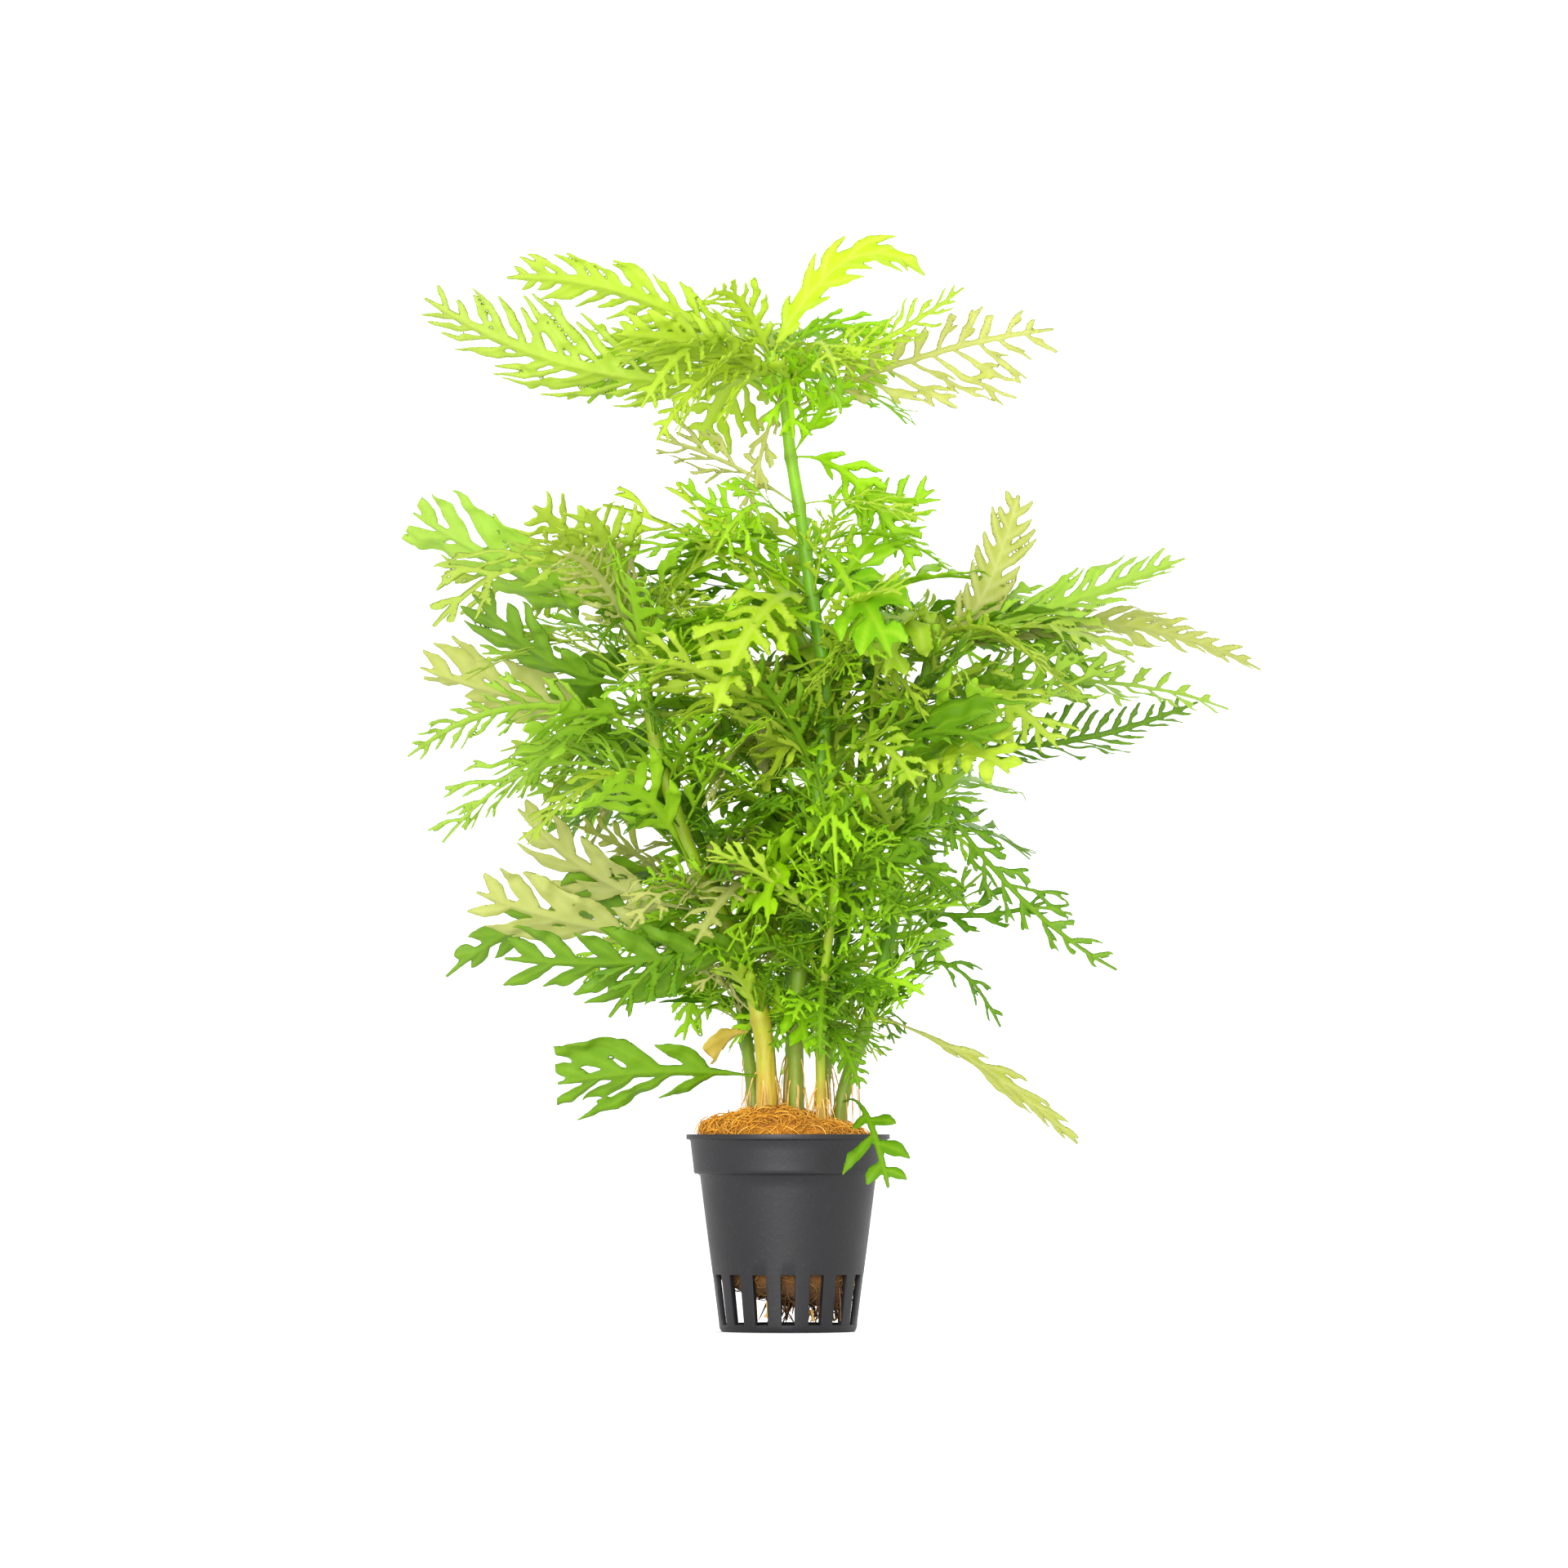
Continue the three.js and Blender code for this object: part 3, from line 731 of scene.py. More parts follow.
def make_feeding_roots():
    """Fine roots that leave the stems' feet and run down into the fibre."""
    draws = random.Random(11)
    strands = []
    for node in NODES_OF["stem"]:
        line = centre_line(node)
        for _ in range(ROOTS_PER_STEM):
            row = line[draws.randint(0, 6)]
            turn = draws.uniform(0, 2 * math.pi)
            out = Vector((math.cos(turn), math.sin(turn), draws.uniform(-0.9, -0.2)))
            start = Vector(row[:3]) + out * row[3] * 0.8
            length = draws.uniform(0.0008, 0.0034)
            fall = start.z - (POT_HIGH.z + 0.003) + draws.uniform(-0.001, 0.002)
            points = curved_root(start, out, length, max(0.001, fall), draws)
            strands.append((points, root_girths(0.00014, 0.00026, 0.08, draws), ROOT_MARKS))
    roots = grown_strands("feeding_roots", strands, 5, 0.0003, 900.0, ROOT_SKIN)
    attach(roots, "root")


make_feeding_roots()


def make_plug_ends():
    """Loose dark fibre and root ends that hang through the underside of the plug."""
    draws = random.Random(23)
    strands = []
    for _ in range(PLUG_ENDS):
        x, y = draws.uniform(-0.004, 0.014), draws.uniform(-0.0135, 0.006)
        place = Vector((x, y, draws.uniform(*PLUG_UNDERSIDE)))
        drop = place.z - draws.uniform(0.0022, 0.0055)
        lean = Vector((draws.uniform(-0.25, 0.25), draws.uniform(-0.25, 0.25), -1))
        points = curved_root(place, lean, drop, 0.0, draws)
        girths = root_girths(0.0002, 0.0004, 0.07, draws)
        strands.append((points, girths, {"shade": [draws.uniform(0, 0.6)] * ROOT_POINTS}))
    ends = grown_strands("plug_ends", strands, 5, 0.0005, 900.0, FIBRE_SKIN)
    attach(ends, "root")


make_plug_ends()


# ---- leaves ----
# Each leaf is one thin blade cut almost to its midrib into lobes that sweep forward, with
# smaller teeth on the lobes. It grows from a joint of a stem on a short stalk, bends along its
# midrib, and is a little folded, curled and ruffled.

# A cut: distance between lobes, half width of a lobe, sweep at its root and at its tip in
# degrees, teeth on a lobe, their share of its length, half width of the web, share of bare
# stalk, length of the left lobes against the right ones, and how far the lobes droop.
CUTS = {
    "broad": (0.0102, 0.0023, 40, 18, 3, 0.2, 0.0013, 0.2, 1.0, 6),
    "feather": (0.0058, 0.00085, 46, 24, 3, 0.3, 0.0009, 0.12, 1.0, 6),
    "plume": (0.0050, 0.0011, 46, 22, 2, 0.22, 0.0016, 0.1, 1.0, 6),
    "comb": (0.0046, 0.0006, 52, 30, 2, 0.24, 0.0007, 0.1, 1.0, 6),
    "thread": (0.0072, 0.0005, 46, 16, 3, 0.45, 0.0003, 0.14, 1.0, 12),
    "fringe": (0.0062, 0.0009, 62, 40, 3, 0.36, 0.0005, 0.2, 0.55, 4),
    "lance": (0.0080, 0.0009, 24, 12, 1, 0.2, 0.0010, 0.3, 1.0, 6),
    "wisp": (0.0075, 0.0004, 48, 26, 1, 0.3, 0.0002, 0.24, 0.8, 30),
    "spoon": (0.0072, 0.0019, 56, 36, 1, 0.2, 0.0004, 0.42, 0.85, 60),
    "strap": (0.0070, 0.0013, 40, 22, 1, 0.3, 0.0026, 0.1, 0.8, 8),
}
LEAVES_OF_CUT = {  # every other leaf is a feather
    "broad": "broad_lower_left left_front lance curled_left bottom_left khaki_upper khaki_lower "
    "old_leaf bowed_left right_front middle_front_right pale_left high_left",
    "plume": "crown_long_left crown_high_left crown_short_left high_right far_right upright_right",
    "comb": "crown_right dark_right crown_back_right high_left_front sweeping_left",
    "thread": "crown_white crown_hanging fine_left trailing_right thin_right falling_left",
    "fringe": "crown_pale_right far_right_lower",
    "lance": "trailing_low_right",
    "wisp": "hooked_right",
    "spoon": "over_rim",
    "strap": "crown_arching",
}
CUT_OF = {leaf: cut for cut, leaves in LEAVES_OF_CUT.items() for leaf in leaves.split()}
# Breadth against the CAD leaf's own.
CUT_BREADTH = {
    **dict.fromkeys(CUTS, 1.05),
    **{"plume": 0.9, "thread": 1.15, "fringe": 1.7, "spoon": 1.25, "lance": 0.7, "wisp": 1.2},
}
DARK_LEAVES = "trailing_low_right hooked_right dark_right thin_right crown_long_left".split()
LOBE_SPREAD = (0.66, 1.14)
LOBED_SHARE = 0.94  # of the blade beyond the stalk
LOBE_GIRTHS = np.array([0.42, 0.72, 1.0, 0.92, 0.55, 0.0])
THINNEST_GIRTHS = np.array([1, 1, 1, 1, 0.9, 0.55])
NARROWEST = 0.00038
WEB_SOFTNESS = 0.00014
VEIN_HALF_WIDTH = 0.0005
BLADE_CELL = 0.0006
BLADE_MARGIN = 0.003  # of the grid around the blade
BLADE_HALF_THICKNESS = 0.00017
EDGE_ROUNDING = 0.0004
MARGIN_BREADTH = 0.0009
VEIN_DIP = 0.00004  # into the face
VEIN_RIDGE = 0.00014  # out of the back


def lobe_rods(start, heading, end_heading, length, radius):
    """A lobe or tooth as rods end to end: narrow at the root, widest past the middle, pointed."""
    girths = np.maximum(radius * LOBE_GIRTHS, NARROWEST * THINNEST_GIRTHS)
    steps = len(girths) - 1
    point = np.array(start, float)
    rods = []
    for k in range(steps):
        angle = heading + (end_heading - heading) * (k + 0.5) / steps
        after = point + length / steps * np.array([math.cos(angle), math.sin(angle)])
        rods.append((*point, girths[k], *after, girths[k + 1]))
        point = after
    return rods


def blade_rods(cut, length, half_breadth, draws):
    """The midrib, lobes and teeth of a flat blade, as tapered rods."""
    spacing, lobe_radius, sweep, end_sweep, teeth, tooth_share = CUTS[cut][:6]
    web, stalk_share, left = CUTS[cut][6:9]
    stalk = stalk_share * length
    pairs = max(2, round((length - stalk) * LOBED_SHARE / spacing))
    bare = stalk * 0.7
    midrib = []
    for x in np.linspace(0, length, 17):
        share = min(1, max(0, x - bare) / (length - bare))
        midrib.append((x, 0, NARROWEST + web * math.sin(math.pi * share) ** 0.7))
    rods = [(*here, *after) for here, after in zip(midrib[:-1], midrib[1:])]
    ribs = list(rods)
    for side in (-1, 1):
        for k in range(pairs):
            share = (k + 0.35 + 0.15 * side + draws.uniform(-0.12, 0.12)) / pairs
            x = stalk + (length - stalk) * LOBED_SHARE * share
            swell = float(np.interp(share, (0, 0.12, 0.4, 0.7, 1), (0.5, 0.8, 1.0, 0.78, 0.3)))
            rise = math.radians(sweep + draws.uniform(-7, 7))
            settle = math.radians(end_sweep + draws.uniform(-8, 8))
            across = half_breadth * swell * draws.uniform(*LOBE_SPREAD)
            reach = min(across / math.sin((rise + settle) / 2), (length - x) * 1.25 + 0.002)
            reach *= left if side > 0 else 1
            radius = lobe_radius * (0.6 + 0.4 * swell) * draws.uniform(0.85, 1.15)
            lobe = lobe_rods((x, 0), side * rise, side * settle, reach, radius)
            rods += lobe
            ribs += lobe
            own_teeth = round(teeth * (1.25 - share))
            for j in range(own_teeth):
                place = 0.3 + 0.55 * (j + draws.uniform(0, 0.6)) / own_teeth
                rod = lobe[int(place * len(lobe))]
                off = side * (1 if j % 2 else -1) * math.radians(draws.uniform(22, 38))
                heading = math.atan2(rod[4] - rod[1], rod[3] - rod[0])
                tooth = reach * tooth_share * (1.1 - 0.5 * place) * draws.uniform(0.8, 1.2)
                end_heading = heading + off * 0.55
                rods += lobe_rods(rod[:2], heading + off, end_heading, tooth, radius * 0.72)
    return np.array(rods), np.array(ribs)


def rod_gaps(rods, x, y):
    """Distance from each point to each rod's middle line, and the rod's girth there."""
    ax, ay, ar, bx, by, br = (rods[:, k, None] for k in range(6))
    dx, dy = bx - ax, by - ay
    share = np.clip(((x - ax) * dx + (y - ay) * dy) / (dx * dx + dy * dy + 1e-12), 0, 1)
    gap = np.hypot(x - ax - share * dx, y - ay - share * dy)
    return gap, ar + share * (br - ar)


def flat_blade(cut, length, half_breadth, seed, cell=BLADE_CELL):
    """A flat closed blade along +X: its points, faces and marks."""
    draws = random.Random(seed)
    rods, ribs = blade_rods(cut, length, half_breadth, draws)
    reach = np.abs(rods[:, (1, 4)]).max() + BLADE_MARGIN
    xs = np.arange(-BLADE_MARGIN / 2, rods[:, (0, 3)].max() + BLADE_MARGIN, cell)
    rows = int(reach / cell)
    ys = np.arange(-rows, rows + 1) * cell
    gx, gy = (g.ravel() for g in np.meshgrid(xs, ys, indexing="ij"))
    gap, girth = rod_gaps(rods, gx, gy)
    pull = np.exp(-np.clip((gap - girth) / WEB_SOFTNESS, -60, 60))
    field = -WEB_SOFTNESS * np.log(pull.sum(0))
    rib_gap, _ = rod_gaps(ribs, gx, gy)
    vein = np.exp(-((rib_gap.min(0) / VEIN_HALF_WIDTH) ** 2))
    field = field.reshape(len(xs), len(ys))
    vein = vein.reshape(field.shape)
    inside = joined_up(field < 0, int(BLADE_MARGIN / cell), rows)
    field = np.where(inside, np.minimum(field, -cell * 0.02), np.maximum(field, cell * 0.02))
    return closed_sheet(field, vein, xs, ys, length)


def joined_up(inside, start_column, middle_row):
    """The part of a mask that is joined to the stalk."""
    reached = np.zeros_like(inside)
    reached[start_column, middle_row] = True
    while True:
        spread = reached.copy()
        spread[1:] |= reached[:-1]
        spread[:-1] |= reached[1:]
        spread[:, 1:] |= reached[:, :-1]
        spread[:, :-1] |= reached[:, 1:]
        spread &= inside
        if (spread == reached).all():
            return reached
        reached = spread


def closed_sheet(field, vein, xs, ys, length):
    """Cuts the grid along the field's zero line into two sheets that share their cut edge."""
    inside = field < 0
    numbers = {}
    points = []

    def add_point(key, x, y, depth, vein_here):
        if key not in numbers:
            numbers[key] = len(points)
            points.append((x, y, depth, vein_here))
        return numbers[key]

    outlines = []
    touched = inside[:-1, :-1] | inside[1:, :-1] | inside[1:, 1:] | inside[:-1, 1:]
    for i, j in zip(*np.nonzero(touched)):
        corners = ((i, j), (i + 1, j), (i + 1, j + 1), (i, j + 1))
        outline = []
        for here, after in zip(corners, corners[1:] + corners[:1]):
            if inside[here]:
                x, y = xs[here[0]], ys[here[1]]
                outline.append(add_point(here, x, y, -field[here], vein[here]))
            if inside[here] != inside[after]:
                low, high = sorted((here, after))
                share = min(0.9, max(0.1, field[low] / (field[low] - field[high])))
                x = xs[low[0]] + share * (xs[high[0]] - xs[low[0]])
                y = ys[low[1]] + share * (ys[high[1]] - ys[low[1]])
                vein_here = (vein[low] + vein[high]) / 2
                outline.append(add_point((low, high), x, y, 0.0, vein_here))
        outlines.append(outline)
    flat = np.array(points)
    depth = flat[:, 2]
    rounding = BLADE_HALF_THICKNESS * (1 - np.exp(-depth / EDGE_ROUNDING))
    top = rounding - VEIN_DIP * flat[:, 3] * (depth > 0)
    bottom = -rounding - VEIN_RIDGE * flat[:, 3] * (depth > 0)
    inner = np.nonzero(depth > 0)[0]
    below = np.arange(len(flat))
    below[inner] = len(flat) + np.arange(len(inner))
    low_face = np.column_stack([flat[inner, :2], bottom[inner]])
    coords = np.concatenate([np.column_stack([flat[:, :2], top]), low_face])
    faces = outlines + [[below[p] for p in reversed(outline)] for outline in outlines]
    source = np.concatenate([np.arange(len(flat)), inner])
    marks = {
        "along": np.clip(coords[:, 0] / length, 0, 1),
        "vein": flat[source, 3],
        "margin": np.clip(1 - depth[source] / MARGIN_BREADTH, 0, 1),
        "under": np.concatenate([np.where(depth > 0, 0.0, 0.5), np.ones(len(inner))]),
    }
    return coords, faces, marks


def leaf_course_tree():
    """Bends flat blades along their courses; a blade's leaf mark says which course is its own."""
    sizes = ("Fold", "Curl", "Ruffle", "Ruffle Scale", "Seed")
    inputs = {"Courses": "Object", **dict.fromkeys(sizes, "Float")}
    tree, nodes, given = geometry_tree("leaf_course", inputs)
    info = nodes.add("GeometryNodeObjectInfo", {}, {0: given["Courses"]}).socket.node.outputs
    courses = nodes.add("GeometryNodeMeshToCurve", {}, {0: Wire(nodes, info["Geometry"])})
    leaf = nodes.kept("leaf")
    settings = {"mode": "FACTOR", "data_type": "FLOAT_VECTOR"}
    sockets = {"Curves": courses, "Factor": nodes.kept("along"), "Curve Index": leaf}
    sockets["Value"] = nodes.kept("face", "FLOAT_VECTOR")
    sample = nodes.add("GeometryNodeSampleCurve", settings, sockets).socket.node.outputs
    middle, tangent, up = (Wire(nodes, sample[name]) for name in ("Position", "Tangent", "Value"))
    side = nodes.vector("NORMALIZE", nodes.vector("CROSS_PRODUCT", up, tangent))
    up = nodes.vector("NORMALIZE", nodes.vector("CROSS_PRODUCT", tangent, side))
    x, y, z = nodes.parts(nodes.add("GeometryNodeInputPosition"))
    moved = nodes.add("ShaderNodeCombineXYZ", {}, {0: x + leaf * 0.37, 1: y, 2: given["Seed"]})
    waves = nodes.speckle(given["Ruffle Scale"], 1.0, moved) - 0.5
    out = y.size()
    edge = (out * 150).within_one()
    fold = given["Fold"]
    rise = out * fold - out * out * given["Curl"] + waves * edge * given["Ruffle"]
    across = nodes.scaled(side, y * (1 - fold * fold * 0.5))
    lift = nodes.scaled(up, z + rise)
    place = nodes.vector("ADD", middle, nodes.vector("ADD", across, lift))
    bent = nodes.add("GeometryNodeSetPosition", {}, {0: given["Geometry"], "Position": place})
    bent = nodes.add("GeometryNodeSetShadeSmooth", {}, {0: bent})
    end_tree(nodes, bent, given["Material"])
    return tree


def leaf_finish(name, shadow, body, rib, back, glow, shine_through, side_shade_share):
    """Blotched green skin, pale at the veins and the back, dulled by painted shade at the plant's
    sides, lit through.
    """
    shadow, body, rib, back, glow = (linear(*c) for c in (shadow, body, rib, back, glow))
    material, nodes = new_finish(name)
    vein = nodes.mark("vein")
    cloud = nodes.speckle(75, 3)
    cells = nodes.speckle(1100, 2)
    lit = (nodes.mark("tone") * 0.7 + cloud * 0.6 - 0.15).within_one()
    colour = nodes.mix(lit, shadow, body)
    colour = nodes.mix(vein * 0.45, colour, rib)
    colour = nodes.mix(nodes.mark("margin") * 0.2, colour, shadow)
    colour = nodes.mix(nodes.mark("under") * 0.4, colour, back)
    colour = nodes.mix(((cells - 0.55) * 3).within_one() * 0.15, colour, rib)
    # Painted shade: the colour is dulled towards the plant's left and right sides, where the lamps
    # light the leaves more than in the crowded middle.
    aside = nodes.parts(nodes.place())[0]
    painted_side_shade = (aside * aside * SIDE_SHADE_SPREAD).within_one()
    colour = nodes.mix(painted_side_shade * side_shade_share, colour, linear(*SIDE_SHADE_COLOUR))
    relief = nodes.bump(0.35, 0.0002, cells + vein * 0.8)
    skin = nodes.skin(colour, cloud * 0.2 + 0.4, relief, 0.22)
    through = nodes.add("ShaderNodeBsdfTranslucent", {}, {"Color": (*glow, 1)})
    both = nodes.add("ShaderNodeMixShader", {}, {0: shine_through, 1: skin, 2: through})
    end_finish(nodes, both)
    return material


# Painted shade at the plant's sides: how fast it grows, and the dull colour it mixes in.
SIDE_SHADE_SPREAD = 150  # against the square of the distance to the plant's middle, in metres
SIDE_SHADE_COLOUR = (158, 168, 92)
# Of each skin: its colour in the shade and in the light, at its veins, on its back and lit
# through, the share of light it lets through, and the share of painted shade at the plant's sides.
LIME = ((136, 178, 12), (190, 216, 40), (208, 220, 100), (176, 198, 74), (196, 216, 44))
GREEN = ((98, 160, 4), (166, 212, 12), (194, 218, 60), (156, 198, 40), (182, 222, 10))
DEEP = ((56, 108, 3), (104, 148, 8), (142, 178, 42), (120, 158, 36), (134, 182, 12))
PALE = ((142, 152, 60), (194, 197, 112), (212, 213, 152), (188, 192, 126), (200, 205, 100))
BROWN = ((146, 122, 40), (208, 188, 84), (232, 214, 130), (194, 172, 84), (228, 212, 88))
LEAF_SKINS = {
    "leaf_lime": leaf_finish("lime_leaf_skin", *LIME, 0.48, 0.7),
    "leaf_green": leaf_finish("green_leaf_skin", *GREEN, 0.48, 0.7),
    "leaf_deep": leaf_finish("deep_leaf_skin", *DEEP, 0.44, 0.2),
    "leaf_pale": leaf_finish("pale_leaf_skin", *PALE, 0.48, 0.4),
    "leaf_brown": leaf_finish("old_leaf_skin", *BROWN, 0.42, 0.0),
}
LEAF_COURSE = leaf_course_tree()
LEAF_RUFFLE = 0.007
FACING_GAP = (0.0005, 0.0013)  # between a CAD leaf's two faces at its midrib
SLICE_HALF = 0.0015  # corners this near a place on the midrib give its breadth there
WIDEST = 0.03
STALK_SINK = 0.003


def midrib_course(node):
    """A CAD leaf's midrib from its foot, the way its face looks there, and its half breadth."""
    mesh = merged_copy(node)
    corners = [v.co.copy() for v in mesh.vertices]
    bpy.data.meshes.remove(mesh)
    tree = KDTree(len(corners))
    for i, corner in enumerate(corners):
        tree.insert(corner, i)
    tree.balance()
    pairs = []
    for i, corner in enumerate(corners):
        _, j, gap = tree.find_n(corner, 2)[1]
        back = tree.find_n(corners[j], 2)[1][1]
        if i < j and back == i and FACING_GAP[0] < gap < FACING_GAP[1]:
            pairs.append((gap, (corner + corners[j]) / 2, (corner - corners[j]).normalized()))
    pairs.sort(key=lambda pair: -pair[0])
    course = []
    before = Vector((0, 0, 1))
    for _, middle, face in pairs:
        face = face if face.dot(before) > 0 else -face
        course.append((middle, face))
        before = face
    spread = 0.0
    for k, (middle, face) in enumerate(course):
        along = (course[min(k + 1, len(course) - 1)][0] - course[max(k - 1, 0)][0]).normalized()
        side = face.cross(along)
        for arm in (c - middle for c in corners):
            if abs(arm.dot(along)) < SLICE_HALF and arm.length < WIDEST:
                spread = max(spread, abs(arm.dot(side)))
    return course, spread


def with_stalk(course):
    """Carries a course back into its stem."""
    back = (course[0][0] - course[1][0]).normalized()
    return [(course[0][0] + back * STALK_SINK, course[0][1])] + course


def course_length(course):
    return sum((b[0] - a[0]).length for a, b in zip(course[:-1], course[1:]))


def bent_leaves(name, blades, fold, curl, ruffle, seed, material):
    """One mesh of leaves: each blade is (points, faces, marks, course, tone)."""
    coords, faces, edges, stations, looks = [], [], [], [], []
    marks = {"along": [], "vein": [], "margin": [], "under": [], "leaf": [], "tone": []}
    for number, (points, outlines, own, course, tone) in enumerate(blades):
        first = len(coords)
        coords.extend(map(tuple, points))
        faces.extend([first + p for p in outline] for outline in outlines)
        for mark, values in own.items():
            marks[mark].extend(values)
        marks["leaf"].extend([number] * len(points))
        marks["tone"].extend([tone] * len(points))
        start = len(stations)
        stations.extend(tuple(middle) for middle, _ in course)
        looks.extend(tuple(face) for _, face in course)
        edges.extend((start + i, start + i + 1) for i in range(len(course) - 1))
    flat = bpy.data.meshes.new(name)
    flat.from_pydata(coords, [], faces)
    for mark, values in marks.items():
        kind = "INT" if mark == "leaf" else "FLOAT"
        flat.attributes.new(mark, kind, "POINT").data.foreach_set("value", values)
    courses = bpy.data.meshes.new(name + "_courses")
    courses.from_pydata(stations, edges, [])
    flat_looks = [v for look in looks for v in look]
    courses.attributes.new("face", "FLOAT_VECTOR", "POINT").data.foreach_set("vector", flat_looks)
    guide = place_piece(name + "_courses", courses)
    leaves = place_piece(name, flat)
    values = {"Fold": fold, "Curl": curl, "Ruffle": ruffle, "Ruffle Scale": 130.0, "Seed": seed}
    grow(leaves, LEAF_COURSE, {**values, "Courses": guide, "Material": material})
    bpy.data.objects.remove(guide)
    return leaves


def make_leaf(node):
    name = node.removeprefix("leaf_")
    draws = random.Random(name)
    course, spread = midrib_course(node)
    course = with_stalk(course)
    cut = CUT_OF.get(name, "feather")
    blade = flat_blade(cut, course_length(course), spread * CUT_BREADTH[cut], name)
    fold = draws.uniform(0.1, 0.4)
    curl = CUTS[cut][-1] * draws.uniform(0.2, 1.4)
    tone = 0.0 if name in DARK_LEAVES else draws.uniform(0.2, 1.0)
    skin = LEAF_SKINS[SLOT_OF[node]]
    bends = (fold, curl, LEAF_RUFFLE, draws.uniform(0, 9))
    leaf = bent_leaves(name + "_blade", [(*blade, course, tone)], *bends, skin)
    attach(leaf, "root")
    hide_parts(node)


for leaf_node in NODES_OF["leaf"]:
    make_leaf(leaf_node)


# ---- side leaves ----
# The shoots are closely set with smaller leaves, in opposite pairs that turn a quarter round
# from one joint to the next. They rise from the joint, then arch over under their own weight.
SIDE_REACH = (0.026, 0.054)
SIDE_BENDS = (0.25, 6.0, 0.008)  # fold, curl and ruffle
COURSE_POINTS = 14
SHARED_LENGTH = 0.046
SHARED_HALF_BREADTH = 0.0088
SHARED_CELL = 0.0007
SHARED_KINDS = 4  # of each cut
SIDE_CUTS = ("broad", "feather", "feather", "comb", "thread", "thread", "thread")
BEARINGS = (0, 1, 0.5, 1.5, 0.25, 1.25, 0.75, 1.75)  # in half turns, in the order they fill
LOWEST_JOINT = 0.064
LOWEST_TIP = 0.058
LOW_FOLIAGE = 0.095  # leaves that start below this are shorter
DENSE_FROM = 0.155
DENSE_BELOW = 0.085
NECK = (0.200, 0.222)
NECK_BARE = 0.6  # the share of the side leaves that are missing there
LOW_RIGHT = (0.014, 0.11)  # out from here and below here, the next share is missing
LOW_RIGHT_BARE = 0.4
CROWN_JOINTS = (0.225, 0.229, 0.233, 0.237)
CROWN_FALL = 0.006  # how far a crown leaf may reach below the top of the neck
TOP_JOINTS = (0.004, 0.009)  # extra joints below the top of the two leaning shoots
TRIES = 16
# How far to the left and to the right the side leaves spread at a height.
SPREAD = (
    (0.056, -0.024, 0.022),
    (0.078, -0.060, 0.032),
    (0.100, -0.066, 0.046),
    (0.125, -0.070, 0.050),
    (0.145, -0.086, 0.052),
    (0.160, -0.088, 0.088),
    (0.182, -0.088, 0.078),
    (0.196, -0.084, 0.036),
    (0.208, -0.080, 0.030),
    (0.214, -0.036, 0.012),
    (0.222, -0.036, 0.012),
    (0.228, -0.080, 0.050),
    (0.244, -0.060, 0.036),
    (0.256, -0.014, -0.012),
)

CROWN_FOOT = 0.196
LEFT_SIDE = -0.015
PALE_BELOW = 0.135
LOW_HALF = 0.125
SIDE_ODDS = {  # a finish is taken when the draw is below its number and none before it was
    "crown": {"leaf_lime": 0.8, "leaf_green": 1},
    "low left": {"leaf_pale": 0.26, "leaf_lime": 0.4, "leaf_green": 0.82, "leaf_deep": 1},
    "left": {"leaf_lime": 0.4, "leaf_green": 0.82, "leaf_deep": 1},
    "middle": {"leaf_lime": 0.36, "leaf_green": 0.82, "leaf_deep": 1},
    "low": {"leaf_deep": 0.45, "leaf_green": 0.92, "leaf_lime": 1},
}
SHARED_BLADES = {
    cut: [
        flat_blade(cut, SHARED_LENGTH, SHARED_HALF_BREADTH, cut + str(k), SHARED_CELL)
        for k in range(SHARED_KINDS)
    ]
    for cut in sorted(set(SIDE_CUTS))
}


def arched_course(foot, bearing, reach, rise, droop, roll):
    """A course that leaves its joint at a slope and bends over, with its face rolled sideways."""
    out = Vector((math.cos(bearing), math.sin(bearing), 0))
    side = Vector((-out.y, out.x, 0))
    course = []
    for k in range(COURSE_POINTS):
        t = k / (COURSE_POINTS - 1)
        middle = foot + out * reach * t + Vector((0, 0, reach * (rise * t - droop * t * t)))
        slope = rise - 2 * droop * t
        face = Vector((0, 0, 1)) - out * slope
        course.append((middle, (face.normalized() + side * roll * (0.4 + t)).normalized()))
    return course


def fits(course):
    """Whether a course keeps inside the plant's spread, the CAD model's box and above the pot."""
    low, high = cad_box
    heights, left, right = zip(*SPREAD)
    for middle, _ in course:
        if not low.y < middle.y < high.y or not LOWEST_TIP < middle.z < high.z:
            return False
        if not np.interp(middle.z, heights, left) < middle.x < np.interp(middle.z, heights, right):
            return False
    return True


def part_of_plant(tip):
    if tip.z > CROWN_FOOT:
        return "crown"
    if tip.x < LEFT_SIDE:
        return "low left" if tip.z < PALE_BELOW else "left"
    return "middle" if tip.z > LOW_HALF else "low"


def side_slot(tip, draws):
    """The finish of a side leaf, drawn by the odds of the part of the plant its tip is in."""
    chance = draws.random()
    odds = SIDE_ODDS[part_of_plant(tip)]
    return next(slot for slot, share in odds.items() if chance < share)


def sized_blade(cut, course, draws):
    """A shared blade with its breadth scaled to the length of a course."""
    points, outlines, marks = draws.choice(SHARED_BLADES[cut])
    points = points * (1, course_length(course) / SHARED_LENGTH * draws.uniform(0.8, 1.15), 1)
    return points, outlines, marks


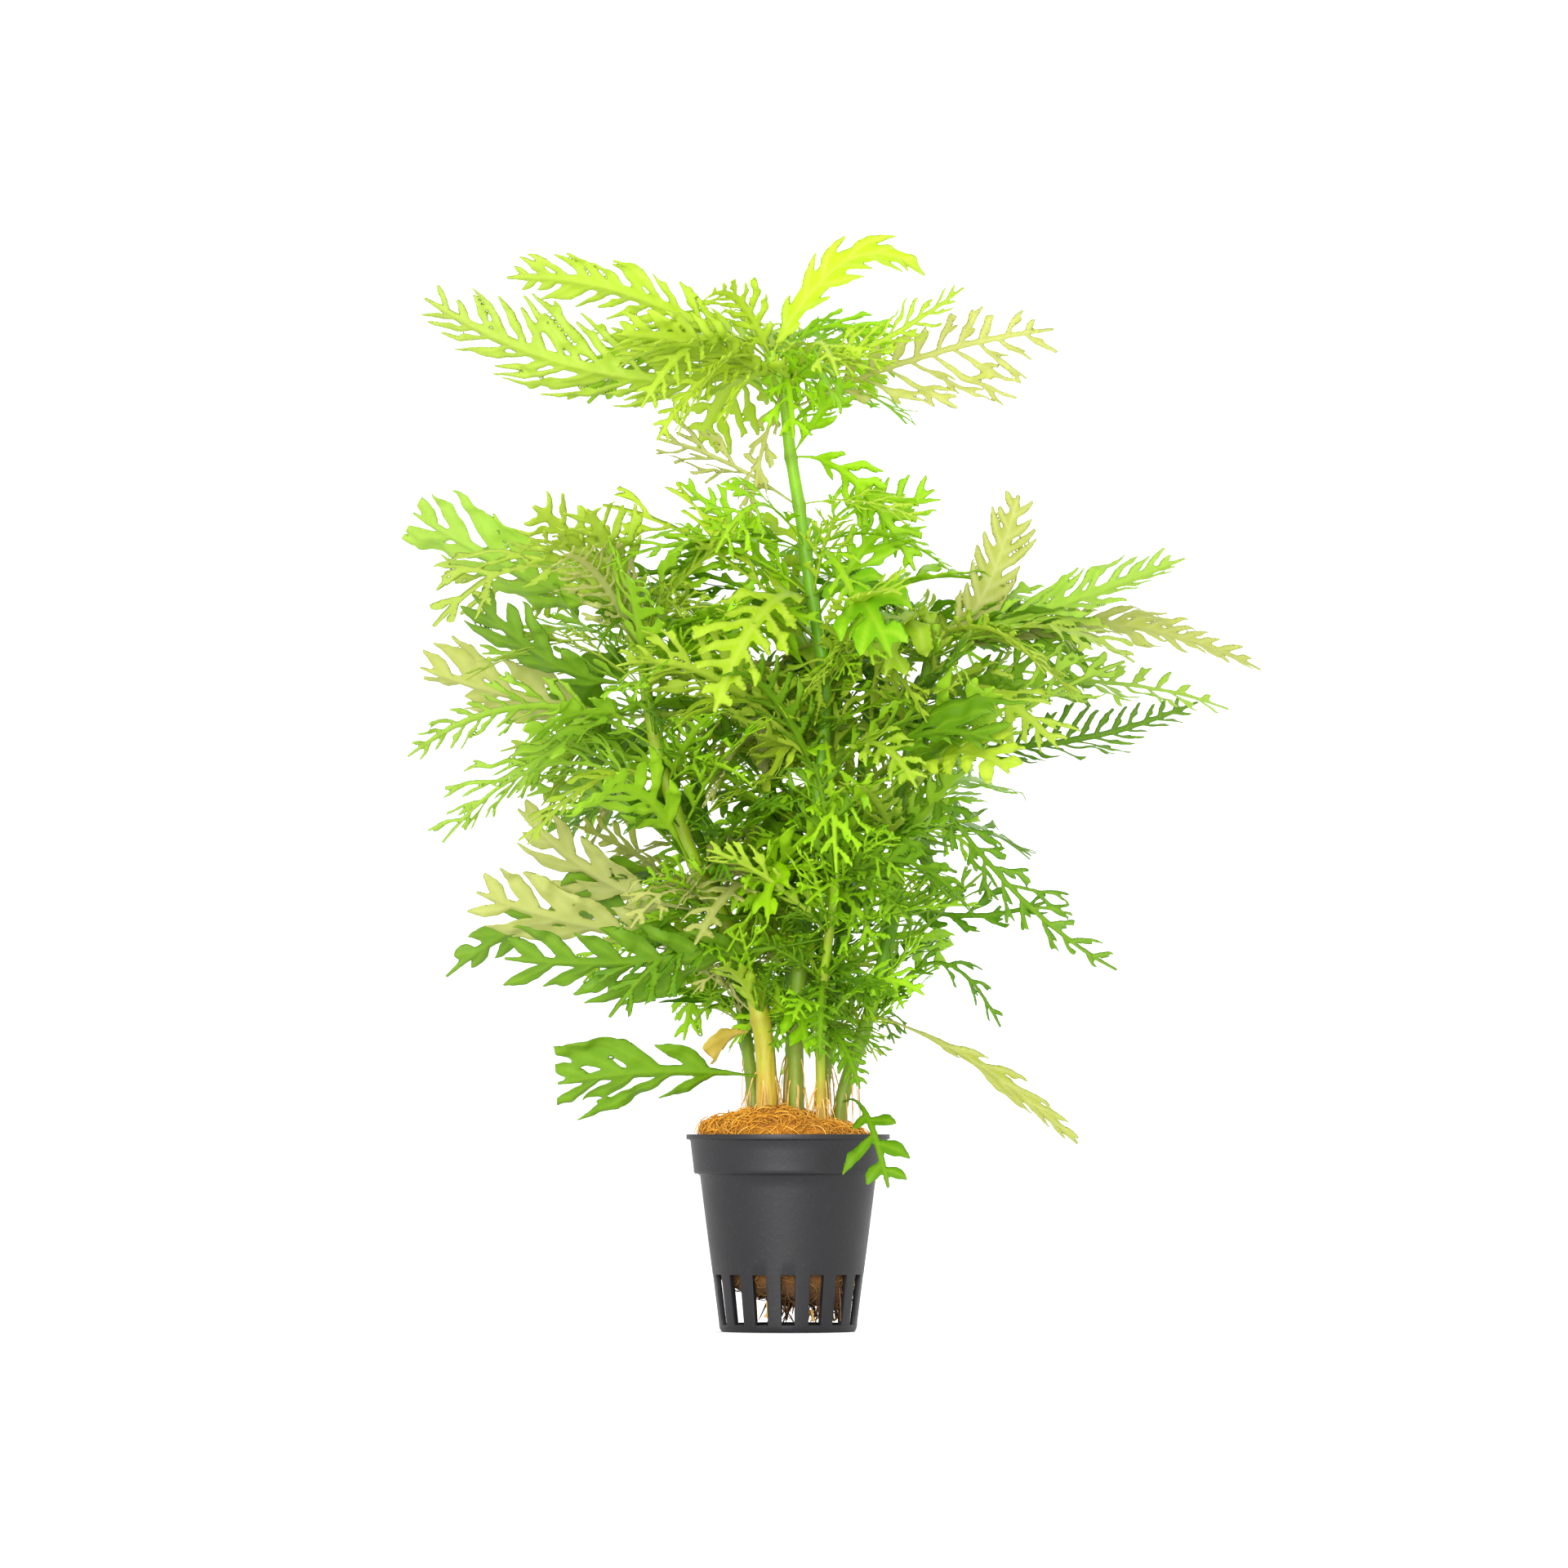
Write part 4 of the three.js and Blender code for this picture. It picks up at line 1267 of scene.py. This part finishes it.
def side_course(foot, half, pair, lean, share, draws):
    """A course for one side leaf: outer leaves of a leaning shoot reach further."""
    bearing = math.pi * half + math.pi / 2 * (pair % 2) + draws.uniform(-0.7, 0.7)
    outward = max(0, math.cos(bearing) * lean)
    reach = draws.uniform(*SIDE_REACH) * (0.8 if half % 1 else 1) * (1 + 0.5 * outward * share)
    if foot.z < LOW_FOLIAGE:
        reach *= 0.75
    rise = draws.uniform(0.1, 1.3)
    droop = draws.uniform(0.2, 1.1)
    if foot.z > NECK[1]:
        rise += 0.1
        droop += 0.25
    return arched_course(foot, bearing, reach, rise, droop, draws.uniform(-1.1, 1.1))


def make_side_leaves(node):
    draws = random.Random(node)
    line = centre_line(node)
    lean = float(np.sign(line[-1, 0] - line[0, 0]))
    groups = {}
    heights = [z for z in joint_heights(node) if z > LOWEST_JOINT and not NECK[1] < z]
    if line[-1, 2] > NECK[1]:
        heights += CROWN_JOINTS
    elif node in ("stem_left", "stem_right"):
        heights += [line[-1, 2] - step for step in TOP_JOINTS]
    for pair, height in enumerate(heights):
        middle = Vector([np.interp(height, line[:, 2], line[:, k]) for k in range(3)])
        share = (height - line[0, 2]) / (line[-1, 2] - line[0, 2])
        dense = DENSE_FROM < height < NECK[0] or height < DENSE_BELOW
        for half in BEARINGS if dense else BEARINGS[:6]:
            in_neck = node == "stem_main" and NECK[0] < height < NECK[1]
            if in_neck and draws.random() < NECK_BARE:
                continue
            low_right = middle.x > LOW_RIGHT[0] and height < LOW_RIGHT[1]
            if low_right and draws.random() < LOW_RIGHT_BARE:
                continue
            for _ in range(TRIES):
                course = side_course(middle, half, pair, lean, share, draws)
                if fits(course) and not course[-1][0].z < NECK[1] - CROWN_FALL < height:
                    break
            else:
                continue
            slot = side_slot(course[-1][0], draws)
            blade = sized_blade(draws.choice(SIDE_CUTS), course, draws)
            groups.setdefault(slot, []).append((*blade, course, draws.uniform(0, 1)))
    for slot, blades in sorted(groups.items()):
        name = node + "_side_leaves_" + slot.removeprefix("leaf_")
        bends = (*SIDE_BENDS, draws.uniform(0, 9))
        leaves = bent_leaves(name, blades, *bends, LEAF_SKINS[slot])
        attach(leaves, "root")


for stem_node in NODES_OF["stem"]:
    make_side_leaves(stem_node)
